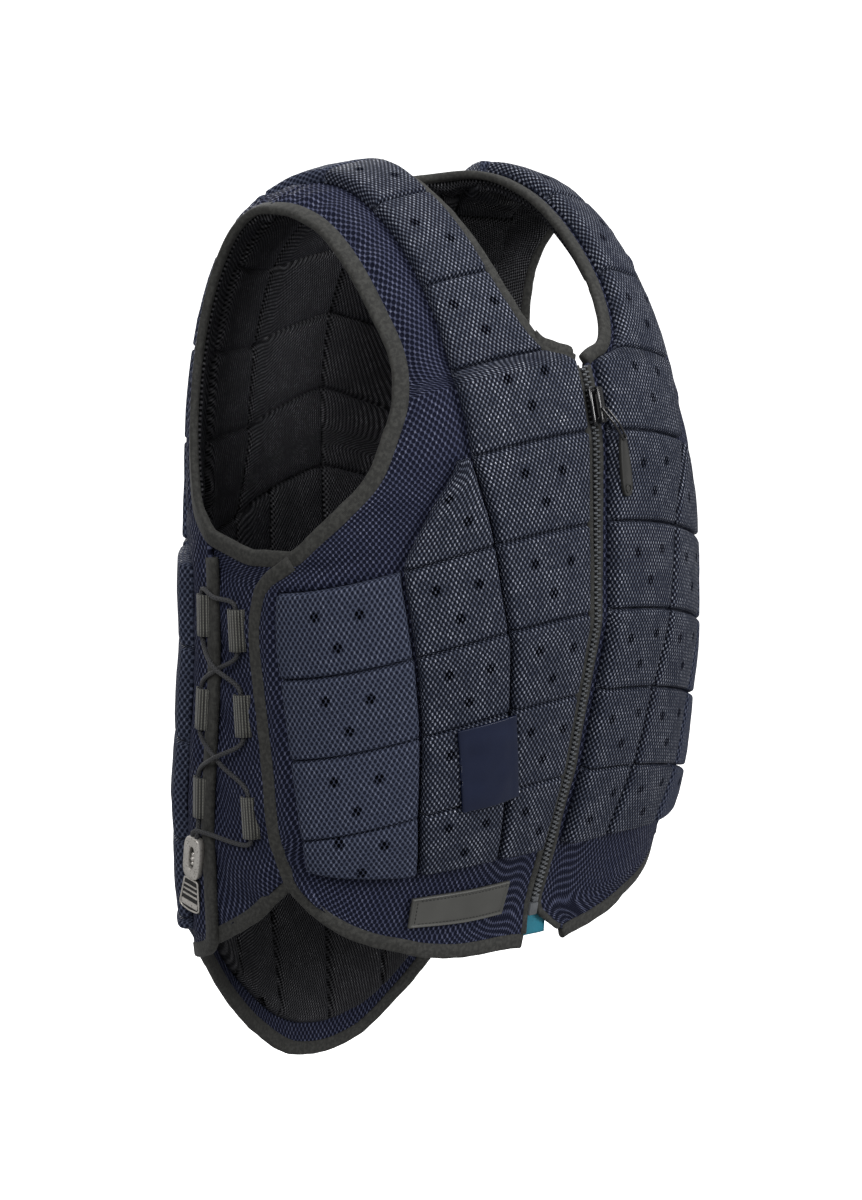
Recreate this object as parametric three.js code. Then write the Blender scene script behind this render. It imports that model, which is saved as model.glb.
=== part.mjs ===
// An equestrian body protector: a zipped, sleeveless, padded top with a longer back.
// Two front panels and a back panel are cloth covers that carry rows of foam blocks on the
// outside and a quilted lining inside. Mesh gussets join them under the arms, where elastic
// laces through webbing loops draw the sides in.
// Millimetres, +Z up, the front faces -Y and the wearer's left is +X. The origin is where the
// shoulders carry it: on the centre line, level with the underside of the shoulder lining.
import * as THREE from "three";

// Driving sizes of the body form, over the outside of the blocks.
const LENGTH = 520; // shoulder top to the front hem, on the centre line
const TAIL = 120; // how much lower the back reaches
const HALF_WIDTH = 193;
const FRONT_DEPTH = 152;
const BACK_DEPTH = 140;
const ARC_HEIGHT = 190; // the part of the height that curves over to the shoulder top
const FRONT_DROP = 50; // how far a row of blocks falls from the zip to the side
const BACK_DROP = 42; // the same from the spine to the side
const FRONT_ROUND = 1.8; // power of the curve over the shoulder, in front
const BACK_ROUND = 2.1; // and behind

// Layers, from the outside in.
const BLOCK = 8.6; // height of an outer block over the cover
const BLOCK_WEB = 1.5; // foam left under the groove between two blocks
const BLOCK_GROOVE = 2.4; // gap between two columns of blocks
const BLOCK_BEVEL = 3.8; // how far a block's top lies inside its base
const COVER = 3.7;
const LINING = 1.6; // lining in the grooves and margins
const LINING_BLOCK = 6.4; // height of an inner block over that
const LINING_BEVEL = 5;
const GUSSET = 2.2;
const FIT = 0.3; // gap between pieces that touch
const PAD_FIT = 0.5; // the same under the blocks

// Trim.
const TAPE = 7; // binding tape past the edge it covers
const ZIP_GAP = 14; // between the two front edges
const ZIP_MARGIN = 3.2; // front edge to the first blocks
const ZIP_TAPE = 2.2;
const ZIP_CHAIN = 6; // width over the teeth
const ZIP_TEETH = 3.2; // their height
const SLIDER = { width: 10, length: 24, plate: 3.2, bridge: 4.4, bar: 2.2 };
const PULL = { width: 10, top: 6, length: 40, thick: 3, hole: 2.2 };
const LOOP = { width: 11, length: 27, wall: 1.3, inside: 4.3, foot: 1.6, lean: 0.8 };
const LACE = { radius: 1.5, sides: 8, slack: 3.2, low: 3.8, high: 7.4, apart: 1.8, over: 3 };
const LOCK = { width: 15, length: 31, thick: 5, slot: 5, slotLength: 17, cut: 3.8, lift: 0.6 };
const TAB = { width: 15, neck: 10, length: 24, thick: 4 };
const KEEPER = 2; // thickness of the strap keeper
const LABEL = 1.8; // thickness of the rubber label
const TAG = { width: 24, length: 21, thick: 1.2 };

const COVER_OUT = -(BLOCK + PAD_FIT);
const COVER_IN = COVER_OUT - COVER;
const COVER_LAYER = { middle: (COVER_OUT + COVER_IN) / 2, thick: COVER };
const LINING_OUT = COVER_IN - FIT;
const LINING_IN = LINING_OUT - LINING;
const LINING_TOP = LINING_IN - LINING_BLOCK;
const GUSSET_OUT = COVER_IN - PAD_FIT - FIT;
const GUSSET_LAYER = { middle: GUSSET_OUT - GUSSET / 2, thick: GUSSET };

// The body form: at is a share of LENGTH down from the shoulder top, width, front, back and
// the two drops are shares of the sizes above, shift is a share of BACK_DEPTH towards the
// back, and square is the power of the round section, 2 being an ellipse.
const SECTIONS = [
  {
    at: 0, width: 0.974, front: 0.987, back: 1, shift: 0.057,
    frontDrop: 0.9, backDrop: 1, square: 2.15,
  },
  {
    at: 0.365, width: 1, front: 0.987, back: 1, shift: 0,
    frontDrop: 1, backDrop: 0.86, square: 2.15,
  },
  {
    at: 0.577, width: 0.995, front: 1, back: 0.986, shift: 0,
    frontDrop: 0.88, backDrop: 0.67, square: 2.2,
  },
  {
    at: 0.769, width: 0.995, front: 0.882, back: 0.971, shift: 0.036,
    frontDrop: 0.76, backDrop: 0.57, square: 2.4,
  },
  {
    at: 0.962, width: 0.974, front: 0.678, back: 0.957, shift: 0.057,
    frontDrop: 0.64, backDrop: 0.48, square: 2.3,
  },
  {
    at: 1.192, width: 0.912, front: 0.645, back: 0.9, shift: 0.071,
    frontDrop: 0.6, backDrop: 0.48, square: 2.15,
  },
];

// One front panel, drawn for the wearer's right. A row is a line round the body: at is a share
// of LENGTH down from the shoulder top, rise lifts the later columns by shares of LENGTH, and
// angle is where each column stands, in degrees from the front centre. A row with a line ends
// the blocks above it. A zip row starts beside the zip, whatever its first two angles say.
const FRONT_COLUMNS = ["inner", "padIn", "ab", "bc", "mid", "padOut", "outer"];
const FRONT_ROWS = [
  { at: 0, line: true, angle: [12.5, 13.7, 30.5, 33.5, 38, 43, 48.8] },
  { at: 0.01, angle: [13.4, 14.6, 30.5, 33.5, 37.5, 41, 45.5] },
  { at: 0.038, line: true, angle: [14.5, 15.6, 30.5, 33.5, 36.5, 39.5, 43] },
  { at: 0.135, line: true, angle: [13.7, 14.8, 30.5, 33.5, 36, 38.5, 41.3] },
  { at: 0.202, angle: [11.2, 12.4, 30.5, 33.5, 35.8, 38, 40] },
  { at: 0.235, line: true, angle: [7.5, 8.9, 30.5, 33.5, 36, 38.4, 40.8] },
  { at: 0.252, zip: true, angle: [2, 3, 30.2, 33.3, 36, 38.8, 41.6] },
  { at: 0.288, zip: true, angle: [2, 3, 29.6, 33, 37, 41, 45] },
  { at: 0.338, zip: true, line: true, angle: [2, 3, 29, 32.4, 39, 45, 50.5] },
  { at: 0.366, zip: true, angle: [2, 3, 27.8, 35.3, 43, 51, 57.5] },
  { at: 0.391, zip: true, angle: [2, 3, 26.6, 38.6, 48, 57.5, 64.5] },
  { at: 0.416, zip: true, angle: [2, 3, 25.3, 41.6, 53, 64.5, 71] },
  { at: 0.452, zip: true, line: true, angle: [2, 3, 24, 44.5, 60, 75.5, 81] },
  { at: 0.51, zip: true, angle: [2, 3, 22.5, 43.2, 59.5, 76, 83] },
  { at: 0.562, zip: true, line: true, angle: [2, 3, 21, 42, 58.5, 75, 82.2] },
  { at: 0.667, zip: true, line: true, angle: [2, 3, 17.5, 38, 55, 71.5, 79] },
  { at: 0.773, zip: true, line: true, angle: [2, 3, 14.5, 35, 51, 67, 75.5] },
  {
    at: 0.875,
    zip: true,
    line: true,
    angle: [2, 3, 12.5, 32.5, 49, 64.5, 73.5],
    rise: [0, 0, 0.004, 0.017, 0.037, 0.06, 0.085],
  },
  {
    at: 0.956,
    zip: true,
    angle: [2, 3, 13, 32, 46, 59, 69],
    rise: [0, 0, 0.004, 0.025, 0.054, 0.089, 0.127],
  },
  {
    at: 1,
    zip: true,
    angle: [2, 3, 16, 31, 42.5, 54, 63.5],
    rise: [0, 0.002, 0.012, 0.04, 0.069, 0.107, 0.144],
  },
];
// The columns of blocks on a front panel, each from a first row downwards.
const FRONT_PADS = {
  a: { from: "padIn", to: "ab", top: 0 },
  b: { from: "ab", to: "bc", top: 0.338 },
  c: { from: "bc", to: "padOut", top: 0.452 },
};
const FRONT_ARMHOLE_END = 0.416;
const ZIP_TOP = 0.252;

// Half of the back panel, in the same way, with angles up to the spine at 180 and a fall that
// lowers each column. Below the tail row the lengths are shares of TAIL instead.
const BACK_COLUMNS = ["centre", "m1", "c1", "m2", "c2", "c3", "padOut", "outer"];
const BACK_ROWS = [
  { fall: [0.017, 0.015, 0.01, 0.004, 0, 0, 0, 0], angle: [180, 176, 173, 170, 167.5, 150, 138, 131.2] },
  {
    fall: [0.033, 0.03, 0.025, 0.018, 0.012, 0.007, 0.006, 0.007],
    angle: [180, 175, 170.5, 166.5, 163, 147, 138.5, 130.5],
  },
  {
    shoulder: true,
    fall: [0.055, 0.053, 0.05, 0.044, 0.037, 0.022, 0.02, 0.024],
    angle: [180, 174, 168.5, 164, 159.5, 143.5, 136.5, 129.5],
  },
  {
    line: true,
    fall: [0.1, 0.104, 0.108, 0.113, 0.117, 0.088, 0.075, 0.073],
    angle: [180, 174, 168, 162.5, 157, 138, 133.5, 129],
  },
  {
    fall: [0.15, 0.155, 0.162, 0.168, 0.173, 0.143, 0.131, 0.128],
    angle: [180, 174, 168, 162.5, 157, 136.5, 132, 127.5],
  },
  {
    line: true,
    fall: [0.198, 0.206, 0.213, 0.22, 0.227, 0.204, 0.194, 0.192],
    angle: [180, 174, 168, 162.5, 157, 135, 130.5, 125.5],
  },
  {
    line: true,
    fall: [0.308, 0.317, 0.327, 0.335, 0.342, 0.323, 0.315, 0.313],
    angle: [180, 174, 168, 162.5, 157, 133.5, 126, 118],
  },
  {
    fall: [0.362, 0.371, 0.381, 0.39, 0.398, 0.383, 0.373, 0.371],
    angle: [180, 173.3, 166.7, 160.5, 154.5, 132.2, 121, 111.5],
  },
  {
    armholeEnd: true,
    fall: [0.39, 0.399, 0.409, 0.418, 0.426, 0.413, 0.402, 0.398],
    angle: [180, 172.8, 165.7, 159, 152.7, 131, 115.5, 101.5],
  },
  {
    line: true,
    waist: true,
    fall: [0.417, 0.426, 0.435, 0.444, 0.452, 0.45, 0.448, 0.446],
    angle: [180, 172.4, 165, 157.8, 151, 130, 113, 100],
  },
  {
    line: true,
    fall: [0.529, 0.537, 0.546, 0.554, 0.562, 0.563, 0.562, 0.562],
    angle: [180, 172.3, 164.5, 156.5, 148.5, 130, 113, 100],
  },
  {
    line: true,
    fall: [0.644, 0.653, 0.662, 0.669, 0.677, 0.685, 0.688, 0.688],
    angle: [180, 172.3, 164.5, 156.5, 148.5, 130, 113, 100],
  },
  {
    line: true,
    fall: [0.769, 0.777, 0.785, 0.793, 0.802, 0.815, 0.823, 0.823],
    angle: [180, 172.3, 164.5, 156.5, 148.5, 130, 113, 100],
  },
  {
    line: true,
    tail: true,
    fall: [-0.46, -0.43, -0.4, -0.36, -0.33, -0.29, -0.3, -0.35],
    angle: [180, 172.3, 164.5, 156.5, 148.5, 130, 113, 100],
  },
  {
    tail: true,
    fall: [0.2, 0.19, 0.15, 0.09, 0, -0.2, -0.27, -0.33],
    angle: [180, 172.3, 164.5, 156.5, 148.5, 130, 113, 100],
  },
  {
    line: true,
    tail: true,
    fall: [0.85, 0.82, 0.72, 0.54, 0.34, -0.12, -0.24, -0.31],
    angle: [180, 172.3, 164.5, 156.5, 148.5, 130, 113, 100],
  },
  {
    tail: true,
    fall: [1, 0.965, 0.85, 0.68, 0.47, 0.01, -0.13, -0.25],
    angle: [180, 172.3, 164.5, 156.5, 148.5, 130, 113, 100],
  },
];
// The columns of blocks on half of the back: upper ones end at the waist row, where lower
// ones start. The side one lies under the armhole.
const BACK_PADS = {
  upper_inner: { from: "centre", to: "c2", part: "upper" },
  upper_outer: { from: "c2", to: "c3", part: "upper", shoulder: true },
  lower_inner: { from: "centre", to: "c1", part: "lower" },
  lower_middle: { from: "c1", to: "c2", part: "lower" },
  lower_outer: { from: "c2", to: "c3", part: "lower" },
  side: { from: "c3", to: "padOut", part: "lower" },
};

// Each row of a gusset joins a front row and a back row, counted from the armhole's end, or
// a share of the way down to the next. A dip hollows it between them.
const GUSSET_ROWS = [
  { front: 0, frontDown: 0.08, back: 0, backDown: 0.08, dip: 0.003 },
  { front: 1, back: 1 },
  { front: 2, back: 1, backDown: 0.5 },
  { front: 3, back: 2 },
  { front: 4, back: 3 },
  { front: 5, back: 4 },
  { front: 7, back: 7 },
];
const GUSSET_MIDDLE = 2; // the column of a gusset's grid between the two edges

// Where the small pieces lie. Loops: row and share down it, then share across the cell.
const LOOPS_BACK = [
  { row: 9, down: 0.47, across: 0.2 },
  { row: 10, down: 0.5, across: 0.2 },
  { row: 11, down: 0.42, across: 0.2 },
];
const LOOPS_FRONT = [
  { row: 2, down: 0.0, across: 0.82 },
  { row: 3, down: 0.5, across: 0.78 },
  { row: 4, down: 0.66, across: 0.74 },
];
const LOCK_AT = { row: 12, down: 0.04, across: 0.22, lean: 0.3 };
const SLIDER_AT = 0.308;
const PULL_AT = { at: 0.383, across: 17, lean: 0.14 };
const KEEPER_AT = { top: 0.668, bottom: 0.778, angles: [17.4, 21, 25.5, 30.5], drift: 4.9 };
const LABEL_AT = { top: 0.48, bottom: 1.04, start: 0.5, end: 1 };
const ZIP_START = 0.006; // the tape starts this share of LENGTH below the neck's tape
const ZIP_END = 0.03; // and ends this share above the hem
const PARTING = 7; // degrees by which the left front swings off the zip at the hem
const TAG_AT = { at: 0.98, angle: -1.2 };

// Shares that the cloth pieces are drawn with.
const TUCK = 0.6; // of the margin cell, how far a gusset reaches under the front edge
const BACK_TUCK = 0.3; // the same under the back edge
const HEM_START = 0.35; // of the cell under the armhole, where the front edge tape starts
const MOST_INSET = 0.36; // of a cell, the most that a block's side is drawn in
const SHARPEST = 0.65; // of a full turn's length, where a tape's mitre stops stretching

const COLOUR = {
  mesh: 0x1c2036,
  block: 0x2b3145,
  lining: 0x17181c,
  tape: 0x35363a,
  webbing: 0x3b3c3a,
  lace: 0x12131c,
  zip: 0x1b1c1e,
  slider: 0x17181a,
  metal: 0xb9b4a8,
  rubber: 0x3a3a34,
  leather: 0x18203c,
  tag: 0x0f6f86,
};
const materials = new Map();
function material(colour) {
  if (!materials.has(colour)) {
    const metal = colour === "metal" || colour === "slider";
    materials.set(
      colour,
      new THREE.MeshStandardMaterial({
        color: COLOUR[colour],
        roughness: metal ? 0.35 : 0.85,
        metalness: metal ? 0.9 : 0,
      }),
    );
  }
  return materials.get(colour);
}

const { abs, asin, cos, max, min, sin, sign } = Math;
const radians = THREE.MathUtils.degToRad;
const mix = THREE.MathUtils.lerp;

// The body form

// The section at a height, with real lengths.
function sectionAt(z) {
  const at = -z / LENGTH;
  const last = SECTIONS.length - 1;
  const low = max(1, SECTIONS.findIndex((s) => s.at >= at));
  const j = at > SECTIONS[last].at ? last : low;
  const [p, q] = [SECTIONS[j - 1], SECTIONS[j]];
  const share = min(1, max(0, (at - p.at) / (q.at - p.at)));
  const value = (name) => mix(p[name], q[name], share);
  return {
    width: value("width") * HALF_WIDTH,
    front: value("front") * FRONT_DEPTH,
    back: value("back") * BACK_DEPTH,
    shift: value("shift") * BACK_DEPTH,
    frontDrop: value("frontDrop") * FRONT_DROP,
    backDrop: value("backDrop") * BACK_DROP,
    square: value("square"),
  };
}

// A sine or cosine pulled towards the corners of a squarer section.
const spread = (v, square) => sign(v) * abs(v) ** (2 / square);

// How deep the form is at a height, as a share of its full depth.
function arc(z, round) {
  const t = min(1, max(0, 1 + z / ARC_HEIGHT));
  return (1 - t ** round) ** (1 / round);
}

// The point of the form at an angle and a height. The height is the one at the centre, from
// which a row falls towards the sides.
function formPoint(angle, z) {
  const s = sectionAt(z);
  const [sine, cosine] = [sin(radians(angle)), cos(radians(angle))];
  const depth = cosine > 0 ? s.front * arc(z, FRONT_ROUND) : s.back * arc(z, BACK_ROUND);
  const side = spread(sine, s.square);
  const facing = (1 + cosine) / 2;
  return new THREE.Vector3(
    -s.width * side,
    s.shift - (depth + FIT) * spread(cosine, s.square),
    z - mix(s.backDrop, s.frontDrop, facing) * side ** 2,
  );
}

// The outward direction of the form. On the shoulder ridge, front and back share it.
function formNormal(angle, z) {
  const step = 0.5;
  const level = min(z, -step);
  const across = formPoint(angle + step, level).sub(formPoint(angle - step, level));
  const up = formPoint(angle, min(0, level + step)).sub(formPoint(angle, level - step));
  const normal = across.cross(up).normalize();
  if (normal.dot(formPoint(angle, z).add(new THREE.Vector3(0, 0, ARC_HEIGHT))) < 0) normal.negate();
  if (z === 0) normal.setY(0).normalize();
  return normal;
}

// A node of a panel: its place on the form, its outward direction, and places at any depth.
class Node {
  constructor(angle, z) {
    this.angle = angle;
    this.z = z;
    this.point = formPoint(angle, z);
    this.normal = formNormal(angle, z);
  }
  at(depth) {
    return this.point.clone().addScaledVector(this.normal, depth);
  }
}

// The node between two others.
function between(a, b, share) {
  const node = new Node(mix(a.angle, b.angle, share), mix(a.z, b.z, share));
  node.point = a.point.clone().lerp(b.point, share);
  node.normal = a.normal.clone().lerp(b.normal, share).normalize();
  return node;
}

// The angle at which the form is a given distance from the centre line.
function angleFor(x, z) {
  const s = sectionAt(z);
  return THREE.MathUtils.radToDeg(asin((x / s.width) ** (s.square / 2)));
}

// Panels as grids of nodes

const frontGrid = (side) =>
  FRONT_ROWS.map((row) =>
    row.angle.map((angle, k) => {
      const z = -LENGTH * (row.at - (row.rise ? row.rise[k] : 0));
      const edge = ZIP_GAP / 2 + (k === 1 ? ZIP_MARGIN : 0);
      const parted = side < 0 && row === FRONT_ROWS[FRONT_LAST] ? PARTING : 0;
      return new Node(side * (row.zip && k < 2 ? angleFor(edge, z) + parted : angle), z);
    }),
  );

const backHalf = (side) =>
  BACK_ROWS.map((row) =>
    row.angle.map((angle, k) => {
      const z = row.tail ? -LENGTH - TAIL * row.fall[k] : -LENGTH * row.fall[k];
      return new Node(side * angle, z);
    }),
  );

// Solids from points and faces

class Shell {
  constructor() {
    this.points = [];
    this.triangles = [];
  }
  add(point) {
    this.points.push(point);
    return this.points.length - 1;
  }
  quad(a, b, c, d) {
    this.triangles.push([a, b, c], [a, c, d]);
  }
  // A closed mesh whose faces point outwards.
  geometry() {
    let volume = 0;
    for (const [a, b, c] of this.triangles) {
      const [p, q, r] = [this.points[a], this.points[b], this.points[c]];
      volume += p.dot(q.clone().cross(r));
    }
    const order = volume < 0 ? [0, 2, 1] : [0, 1, 2];
    const made = new THREE.BufferGeometry();
    const flat = this.points.flatMap((p) => [p.x, p.y, p.z]);
    made.setAttribute("position", new THREE.Float32BufferAttribute(flat, 3));
    made.setIndex(this.triangles.flatMap((t) => order.map((i) => t[i])));
    made.computeVertexNormals();
    return made;
  }
}

// A sheet over a grid of nodes. One face lies at the depth flat and the other at base. has
// says which cells it covers. A block is a range of cells [row, row, column, column] that
// rises from base to top, and trim draws the whole outline in.
function sheet(grid, { flat, base, has = () => true, blocks = [], top, bevel, trim = 0 }) {
  const shell = new Shell();
  const [rows, columns] = [grid.length, grid[0].length];
  const covers = (j, k) => j >= 0 && k >= 0 && j < rows - 1 && k < columns - 1 && has(j, k);
  // A point at a depth, drawn in from the open sides by a distance.
  const drawnIn = (j, k, depth, inset, inside) => {
    const point = grid[j][k].at(depth);
    if (!inset) return point;
    const moved = point.clone();
    const pull = (dj, dk) => {
      const way = grid[j + dj][k + dk].at(depth).sub(point);
      const reach = way.length();
      moved.addScaledVector(way, min(inset, MOST_INSET * reach) / reach);
    };
    const [nw, ne, sw, se] = [inside(j - 1, k - 1), inside(j - 1, k), inside(j, k - 1), inside(j, k)];
    if (!nw && !ne) pull(1, 0);
    if (!sw && !se) pull(-1, 0);
    if (!nw && !sw) pull(0, 1);
    if (!ne && !se) pull(0, -1);
    return moved;
  };
  const layer = (depth, inset, inside) => {
    const made = new Map();
    return (j, k) => {
      const key = j * columns + k;
      if (!made.has(key)) made.set(key, shell.add(drawnIn(j, k, depth, inset, inside)));
      return made.get(key);
    };
  };
  const face = (at, j, k, turned) => {
    const ring = [at(j, k), at(j, k + 1), at(j + 1, k + 1), at(j + 1, k)];
    shell.quad(...(turned ? [ring[0], ring[3], ring[2], ring[1]] : ring));
  };
  const under = layer(flat, trim, covers);
  const over = layer(base, trim, covers);
  const blockOf = (j, k) => blocks.find(([j0, j1, k0, k1]) => j >= j0 && j < j1 && k >= k0 && k < k1);
  for (let j = 0; j < rows - 1; j++) {
    for (let k = 0; k < columns - 1; k++) {
      if (!covers(j, k)) continue;
      face(under, j, k, false);
      if (!blockOf(j, k)) face(over, j, k, true);
      const sides = [
        [j - 1, k, [j, k], [j, k + 1]],
        [j, k + 1, [j, k + 1], [j + 1, k + 1]],
        [j + 1, k, [j + 1, k + 1], [j + 1, k]],
        [j, k - 1, [j + 1, k], [j, k]],
      ];
      for (const [nj, nk, a, b] of sides) {
        if (!covers(nj, nk)) shell.quad(under(...b), under(...a), over(...a), over(...b));
      }
    }
  }
  for (const block of blocks) {
    const [j0, j1, k0, k1] = block;
    const inside = (j, k) => j >= j0 && j < j1 && k >= k0 && k < k1;
    const raised = layer(top, trim + bevel, inside);
    for (let j = j0; j < j1; j++) {
      for (let k = k0; k < k1; k++) {
        face(raised, j, k, true);
        const sides = [
          [j - 1, k, [j, k], [j, k + 1]],
          [j, k + 1, [j, k + 1], [j + 1, k + 1]],
          [j + 1, k, [j + 1, k + 1], [j + 1, k]],
          [j, k - 1, [j + 1, k], [j, k]],
        ];
        for (const [nj, nk, a, b] of sides) {
          if (!inside(nj, nk)) shell.quad(over(...b), over(...a), raised(...a), raised(...b));
        }
      }
    }
  }
  return shell.geometry();
}

// A bar swept along rings of points, closed on itself or capped at both ends.
function loft(rings, closed) {
  const shell = new Shell();
  const made = rings.map((ring) => ring.map((p) => shell.add(p)));
  const turns = closed ? made.length : made.length - 1;
  for (let i = 0; i < turns; i++) {
    const [a, b] = [made[i], made[(i + 1) % made.length]];
    a.forEach((_, k) => {
      const next = (k + 1) % a.length;
      shell.quad(a[k], a[next], b[next], b[k]);
    });
  }
  if (!closed) {
    const cap = (ring) => {
      for (let k = 1; k < ring.length - 1; k++) shell.triangles.push([ring[0], ring[k], ring[k + 1]]);
    };
    cap([...made[0]].reverse());
    cap(made[made.length - 1]);
  }
  return shell.geometry();
}

// The direction of a path at each of its points, and how much a mitre there stretches.
function tangents(points, closed) {
  const count = points.length;
  return points.map((p, i) => {
    const before = points[closed ? (i + count - 1) % count : max(0, i - 1)];
    const after = points[closed ? (i + 1) % count : min(count - 1, i + 1)];
    const arriving = p.clone().sub(before).normalize();
    const leaving = after.clone().sub(p).normalize();
    const way = arriving.clone().add(leaving).normalize();
    const along = max(arriving.dot(way), leaving.dot(way));
    return { way, stretch: 1 / max(SHARPEST, along) };
  });
}

// Binding tape: a flat bar beside the edge that runs through some nodes. Each stop is a node
// with the layer whose edge it closes, and hand is the side of the path that the bar lies on.
function binding(stops, { closed = false, hand = 1 }) {
  const points = stops.map(([node, layer]) => node.at(layer.middle));
  const ways = tangents(points, closed);
  const rings = stops.map(([node, layer], i) => {
    const out = ways[i].way.clone().cross(node.normal).normalize();
    const corner = (across, depth) =>
      points[i]
        .clone()
        .addScaledVector(out, hand * across * ways[i].stretch)
        .addScaledVector(node.normal, depth);
    const [near, far, half] = [PAD_FIT, PAD_FIT + TAPE, layer.thick / 2];
    return [corner(near, -half), corner(far, -half), corner(far, half), corner(near, half)];
  });
  return loft(rings, closed);
}

// A round tube along points.
function tube(points, radius, sides) {
  let across = null;
  const rings = tangents(points, false).map(({ way }, i) => {
    const start = across ?? new THREE.Vector3(0, 0, 1).cross(way);
    across = start.addScaledVector(way, -start.dot(way)).normalize();
    const third = way.clone().cross(across);
    return Array.from({ length: sides }, (_, k) => {
      const turn = (2 * Math.PI * (k + 0.5)) / sides;
      return points[i]
        .clone()
        .addScaledVector(across, radius * cos(turn))
        .addScaledVector(third, radius * sin(turn));
    });
  });
  return loft(rings, false);
}

// The assembly

const vest = new THREE.Group();
const garment = new THREE.Group();
vest.add(garment);

function place(name, geometry, colour) {
  const mesh = new THREE.Mesh(geometry, material(colour));
  mesh.name = name;
  garment.add(mesh);
  return mesh;
}

// Turns a mesh so that its own X runs across, its Y up the panel and its Z out of it.
function seat(mesh, point, normal, up) {
  const z = normal.clone().normalize();
  const x = up.clone().cross(z).normalize();
  const y = z.clone().cross(x);
  mesh.quaternion.setFromRotationMatrix(new THREE.Matrix4().makeBasis(x, y, z));
  mesh.position.copy(point);
}

// The place on one cell of a grid, with the outward and upward directions of that facet.
function spotOn(grid, row, column, down, across, depth) {
  const [a, b] = [grid[row][column].at(depth), grid[row][column + 1].at(depth)];
  const [c, d] = [grid[row + 1][column].at(depth), grid[row + 1][column + 1].at(depth)];
  const upper = a.clone().lerp(b, across);
  const lower = c.clone().lerp(d, across);
  const up = upper.clone().sub(lower).normalize();
  const sideways = b.clone().lerp(d, down).sub(a.clone().lerp(c, down));
  const normal = sideways.cross(up).normalize();
  if (normal.dot(grid[row][column].normal) < 0) normal.negate();
  return { point: upper.lerp(lower, down), normal, up };
}

const column = (names, name) => names.indexOf(name);
const linesFrom = (rows, first, last) =>
  rows.map((_, j) => j).filter((j) => j >= first && j <= last && rows[j].line);
const pairs = (list) => list.slice(1).map((to, i) => [list[i], to]);

// Outer blocks of one column, as one strip.
function padStrip(name, grid, ranges, k0, k1) {
  const [first, last] = [ranges[0][0], ranges[ranges.length - 1][1]];
  const geometry = sheet(grid, {
    flat: -BLOCK,
    base: -BLOCK + BLOCK_WEB,
    top: 0,
    bevel: BLOCK_BEVEL,
    trim: BLOCK_GROOVE / 2,
    has: (j, k) => j >= first && j < last && k >= k0 && k < k1,
    blocks: ranges.map(([j0, j1]) => [j0, j1, k0, k1]),
  });
  place(name, geometry, "block");
}

const coverDepths = { flat: COVER_OUT, base: COVER_IN };
const liningDepths = { flat: LINING_OUT, base: LINING_IN, top: LINING_TOP, bevel: LINING_BEVEL };

// Front panels: cover, blocks, lining

const frontRow = (at) => FRONT_ROWS.findIndex((row) => row.at >= at);
const FRONT_LAST = FRONT_ROWS.length - 1;

function frontPanel(name, grid) {
  place("front_cover_" + name, sheet(grid, coverDepths), "mesh");
  const blocks = [];
  for (const [letter, pad] of Object.entries(FRONT_PADS)) {
    const [k0, k1] = [column(FRONT_COLUMNS, pad.from), column(FRONT_COLUMNS, pad.to)];
    const ranges = pairs(linesFrom(FRONT_ROWS, frontRow(pad.top), FRONT_LAST));
    padStrip("front_pads_" + letter + "_" + name, grid, ranges, k0, k1);
    blocks.push(...ranges.map(([j0, j1]) => [j0, j1, k0, k1]));
  }
  const side = column(FRONT_COLUMNS, "padOut");
  const lined = (j, k) => j < FRONT_LAST - 1 && (k < side || j < frontRow(FRONT_ARMHOLE_END));
  const lining = sheet(grid, { ...liningDepths, has: lined, blocks });
  place("front_lining_" + name, lining, "lining");
}

// Back panel: cover, blocks, lining

const BACK_ARMHOLE_END = BACK_ROWS.findIndex((row) => row.armholeEnd);
const WAIST = BACK_ROWS.findIndex((row) => row.waist);
const BACK_LAST = BACK_ROWS.length - 1;
const BACK_WIDTH = BACK_COLUMNS.length - 1;

function backRanges(pad) {
  const shoulder = BACK_ROWS.findIndex((row) => row.shoulder);
  const first = pad.part === "lower" ? WAIST : 0;
  const last = pad.part === "upper" ? WAIST : BACK_LAST;
  const lines = linesFrom(BACK_ROWS, first, last);
  if (first === 0) lines.unshift(...(pad.shoulder ? [0, shoulder] : [1]));
  return pairs(lines);
}

function backPanel(right, left) {
  // The whole panel in one grid, from the right edge round the spine to the left one.
  const grid = right.map((row, j) => [...[...row].reverse(), ...left[j].slice(1)]);
  place("back_cover", sheet(grid, coverDepths), "mesh");
  const blocks = [];
  for (const [name, pad] of Object.entries(BACK_PADS)) {
    const [from, to] = [column(BACK_COLUMNS, pad.from), column(BACK_COLUMNS, pad.to)];
    const ranges = backRanges(pad);
    padStrip("back_pads_" + name + "_right", grid, ranges, BACK_WIDTH - to, BACK_WIDTH - from);
    padStrip("back_pads_" + name + "_left", grid, ranges, BACK_WIDTH + from, BACK_WIDTH + to);
    for (const [j0, j1] of ranges) {
      blocks.push([j0, j1, BACK_WIDTH - to, BACK_WIDTH - from], [j0, j1, BACK_WIDTH + from, BACK_WIDTH + to]);
    }
  }
  const lined = (j, k) =>
    j < BACK_LAST - 1 && (j < BACK_ARMHOLE_END || (k > 0 && k < 2 * BACK_WIDTH - 1));
  place("back_lining", sheet(grid, { ...liningDepths, has: lined, blocks }), "lining");
}

// Side gussets: thin mesh tucked under the edges of the front and the back

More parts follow.
